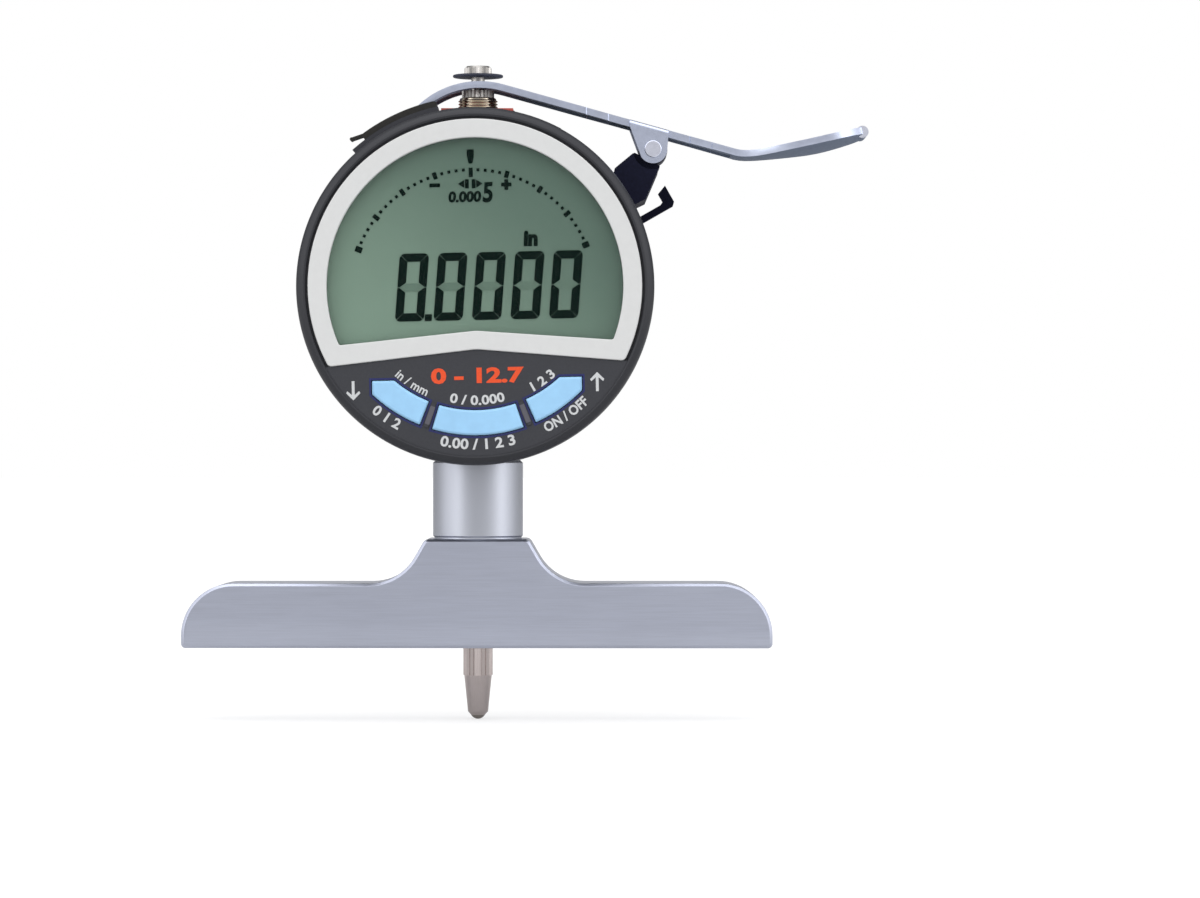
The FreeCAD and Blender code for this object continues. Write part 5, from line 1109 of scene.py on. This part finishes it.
class GAUGE_OT_stage(GaugeOperator):
    """Camera, pale floor and soft studio light"""

    bl_idname = "gauge.stage"
    bl_label = "Stage"

    def execute(self, context):
        scene = context.scene
        scene.view_settings.view_transform = "Standard"
        # The camera stands well in front of the gauge and looks level along +Y
        right, distance, height = 21.16, 736, 34.19
        camera = bpy.data.objects.new("camera", bpy.data.cameras.new("camera"))
        camera.location = (right * MM, -distance * MM, height * MM)
        camera.rotation_euler = (math.radians(90), 0, 0)
        camera.data.sensor_width = 36
        camera.data.lens = 127.27
        camera.data.clip_start = 0.05
        camera.data.clip_end = 50
        scene.collection.objects.link(camera)
        scene.camera = camera
        self.floor(scene)
        self.world(scene)
        self.lamp(scene, "left_softbox", (-0.85, -0.72, 0.22), (0.4, 1.1), 1.5)
        self.lamp(scene, "right_softbox", (0.98, -0.5, 0.22), (0.4, 1.1), 1.7)
        self.lamp(scene, "top_softbox", (-0.1, -0.25, 1.05), (1.0, 0.8), 1.8)
        return {"FINISHED"}

    def lamp(self, scene, name, place, size, power):
        light = bpy.data.lights.new(name, "AREA")
        light.shape = "RECTANGLE"
        light.size, light.size_y = size
        light.energy = power
        lamp = bpy.data.objects.new(name, light)
        lamp.location = place
        aim = Vector((0, 0, 45 * MM)) - Vector(place)
        lamp.rotation_euler = aim.to_track_quat("-Z", "Y").to_euler()
        scene.collection.objects.link(lamp)

    def floor(self, scene):
        bm = bmesh.new()
        bmesh.ops.create_grid(bm, x_segments=1, y_segments=1, size=6)
        bmesh.ops.translate(bm, verts=bm.verts, vec=(0, 0, -12.62 * MM))
        mesh = bpy.data.meshes.new("floor")
        bm.to_mesh(mesh)
        bm.free()
        floor = bpy.data.objects.new("floor", mesh)
        scene.collection.objects.link(floor)
        mesh.materials.append(white_lacquered_board())

    def world(self, scene):
        """A white studio: darker behind the camera and in a ring at its sides, as a real studio is."""
        world = bpy.data.worlds.new("studio")
        scene.world = world
        world.use_nodes = True
        tree = world.node_tree
        tree.nodes.clear()
        place = add_node(tree, "TexCoord").outputs["Generated"]
        split = add_node(tree, "SeparateXYZ", links={"Vector": place})
        depth = add_node(
            tree, "MapRange", {"From Min": -1.0, "From Max": 1.0}, {"Value": split.outputs["Y"]}
        )
        ramp = add_node(tree, "ValToRGB", links={"Fac": depth.outputs["Result"]})
        # From the camera's side of the studio, over its bright sides, to the dark behind the gauge
        stops = [(0.05, 0.26), (0.15, 0.72), (0.34, 0.92), (0.5, 0.75)]
        stops += [(0.64, 0.28), (0.8, 0.06), (0.97, 0.06)]
        ramp.color_ramp.elements[0].color = (0.24, 0.24, 0.25, 1)
        ramp.color_ramp.elements[1].position = 0.985
        ramp.color_ramp.elements[1].color = (0.5, 0.5, 0.5, 1)
        for position, value in stops:
            stop = ramp.color_ramp.elements.new(position)
            stop.color = (value, value, value * 1.02, 1)
        path = add_node(tree, "LightPath")
        fill = add_node(tree, "Background", {"Color": (1, 1, 1, 1), "Strength": 1.1})
        mirror = add_node(tree, "Background", {"Strength": 2.0}, {"Color": ramp.outputs["Color"]})
        white = add_node(tree, "Background", {"Color": (1, 1, 1, 1), "Strength": 1.0})
        lights = [path.outputs["Is Glossy Ray"], fill.outputs["Background"], mirror.outputs["Background"]]
        lit = add_node(tree, "MixShader", links=dict(enumerate(lights)))
        seen = rays_of(tree, "Is Camera Ray", "Is Transmission Ray")
        views = {0: seen, 1: lit.outputs["Shader"], 2: white.outputs["Background"]}
        view = add_node(tree, "MixShader", links=views)
        add_node(tree, "OutputWorld", links={"Surface": view.outputs["Shader"]})


PIECE_OPERATORS = (
    GAUGE_OT_base,
    GAUGE_OT_case,
    GAUGE_OT_top_bush,
    GAUGE_OT_bezel,
    GAUGE_OT_face,
    GAUGE_OT_buttons,
    GAUGE_OT_panel_marks,
    GAUGE_OT_display,
    GAUGE_OT_spindle,
    GAUGE_OT_lever,
    GAUGE_OT_inside,
    GAUGE_OT_stage,
)


class GAUGE_PT_panel(bpy.types.Panel):
    bl_label = "Depth gauge"
    bl_idname = "GAUGE_PT_panel"
    bl_space_type = "VIEW_3D"
    bl_region_type = "UI"
    bl_category = "Depth gauge"

    def draw(self, context):
        layout = self.layout
        for group in (context.scene.gauge_sizes, context.scene.gauge_colours):
            for name in group.__annotations__:
                layout.prop(group, name)
        for operator in PIECE_OPERATORS:
            layout.operator(operator.bl_idname)


CLASSES = (GaugeSizes, GaugeColours, *PIECE_OPERATORS, GAUGE_PT_panel)


def register():
    for item in CLASSES:
        bpy.utils.register_class(item)
    bpy.types.Scene.gauge_sizes = PointerProperty(type=GaugeSizes)
    bpy.types.Scene.gauge_colours = PointerProperty(type=GaugeColours)


def unregister():
    del bpy.types.Scene.gauge_colours
    del bpy.types.Scene.gauge_sizes
    for item in reversed(CLASSES):
        bpy.utils.unregister_class(item)


def main():
    register()
    bpy.ops.gauge.base()
    bpy.ops.gauge.case()
    bpy.ops.gauge.top_bush()
    bpy.ops.gauge.bezel()
    bpy.ops.gauge.face()
    bpy.ops.gauge.buttons()
    bpy.ops.gauge.panel_marks()
    bpy.ops.gauge.display()
    bpy.ops.gauge.spindle()
    bpy.ops.gauge.lever()
    bpy.ops.gauge.inside()
    bpy.ops.gauge.stage()


if __name__ == "__main__":
    main()
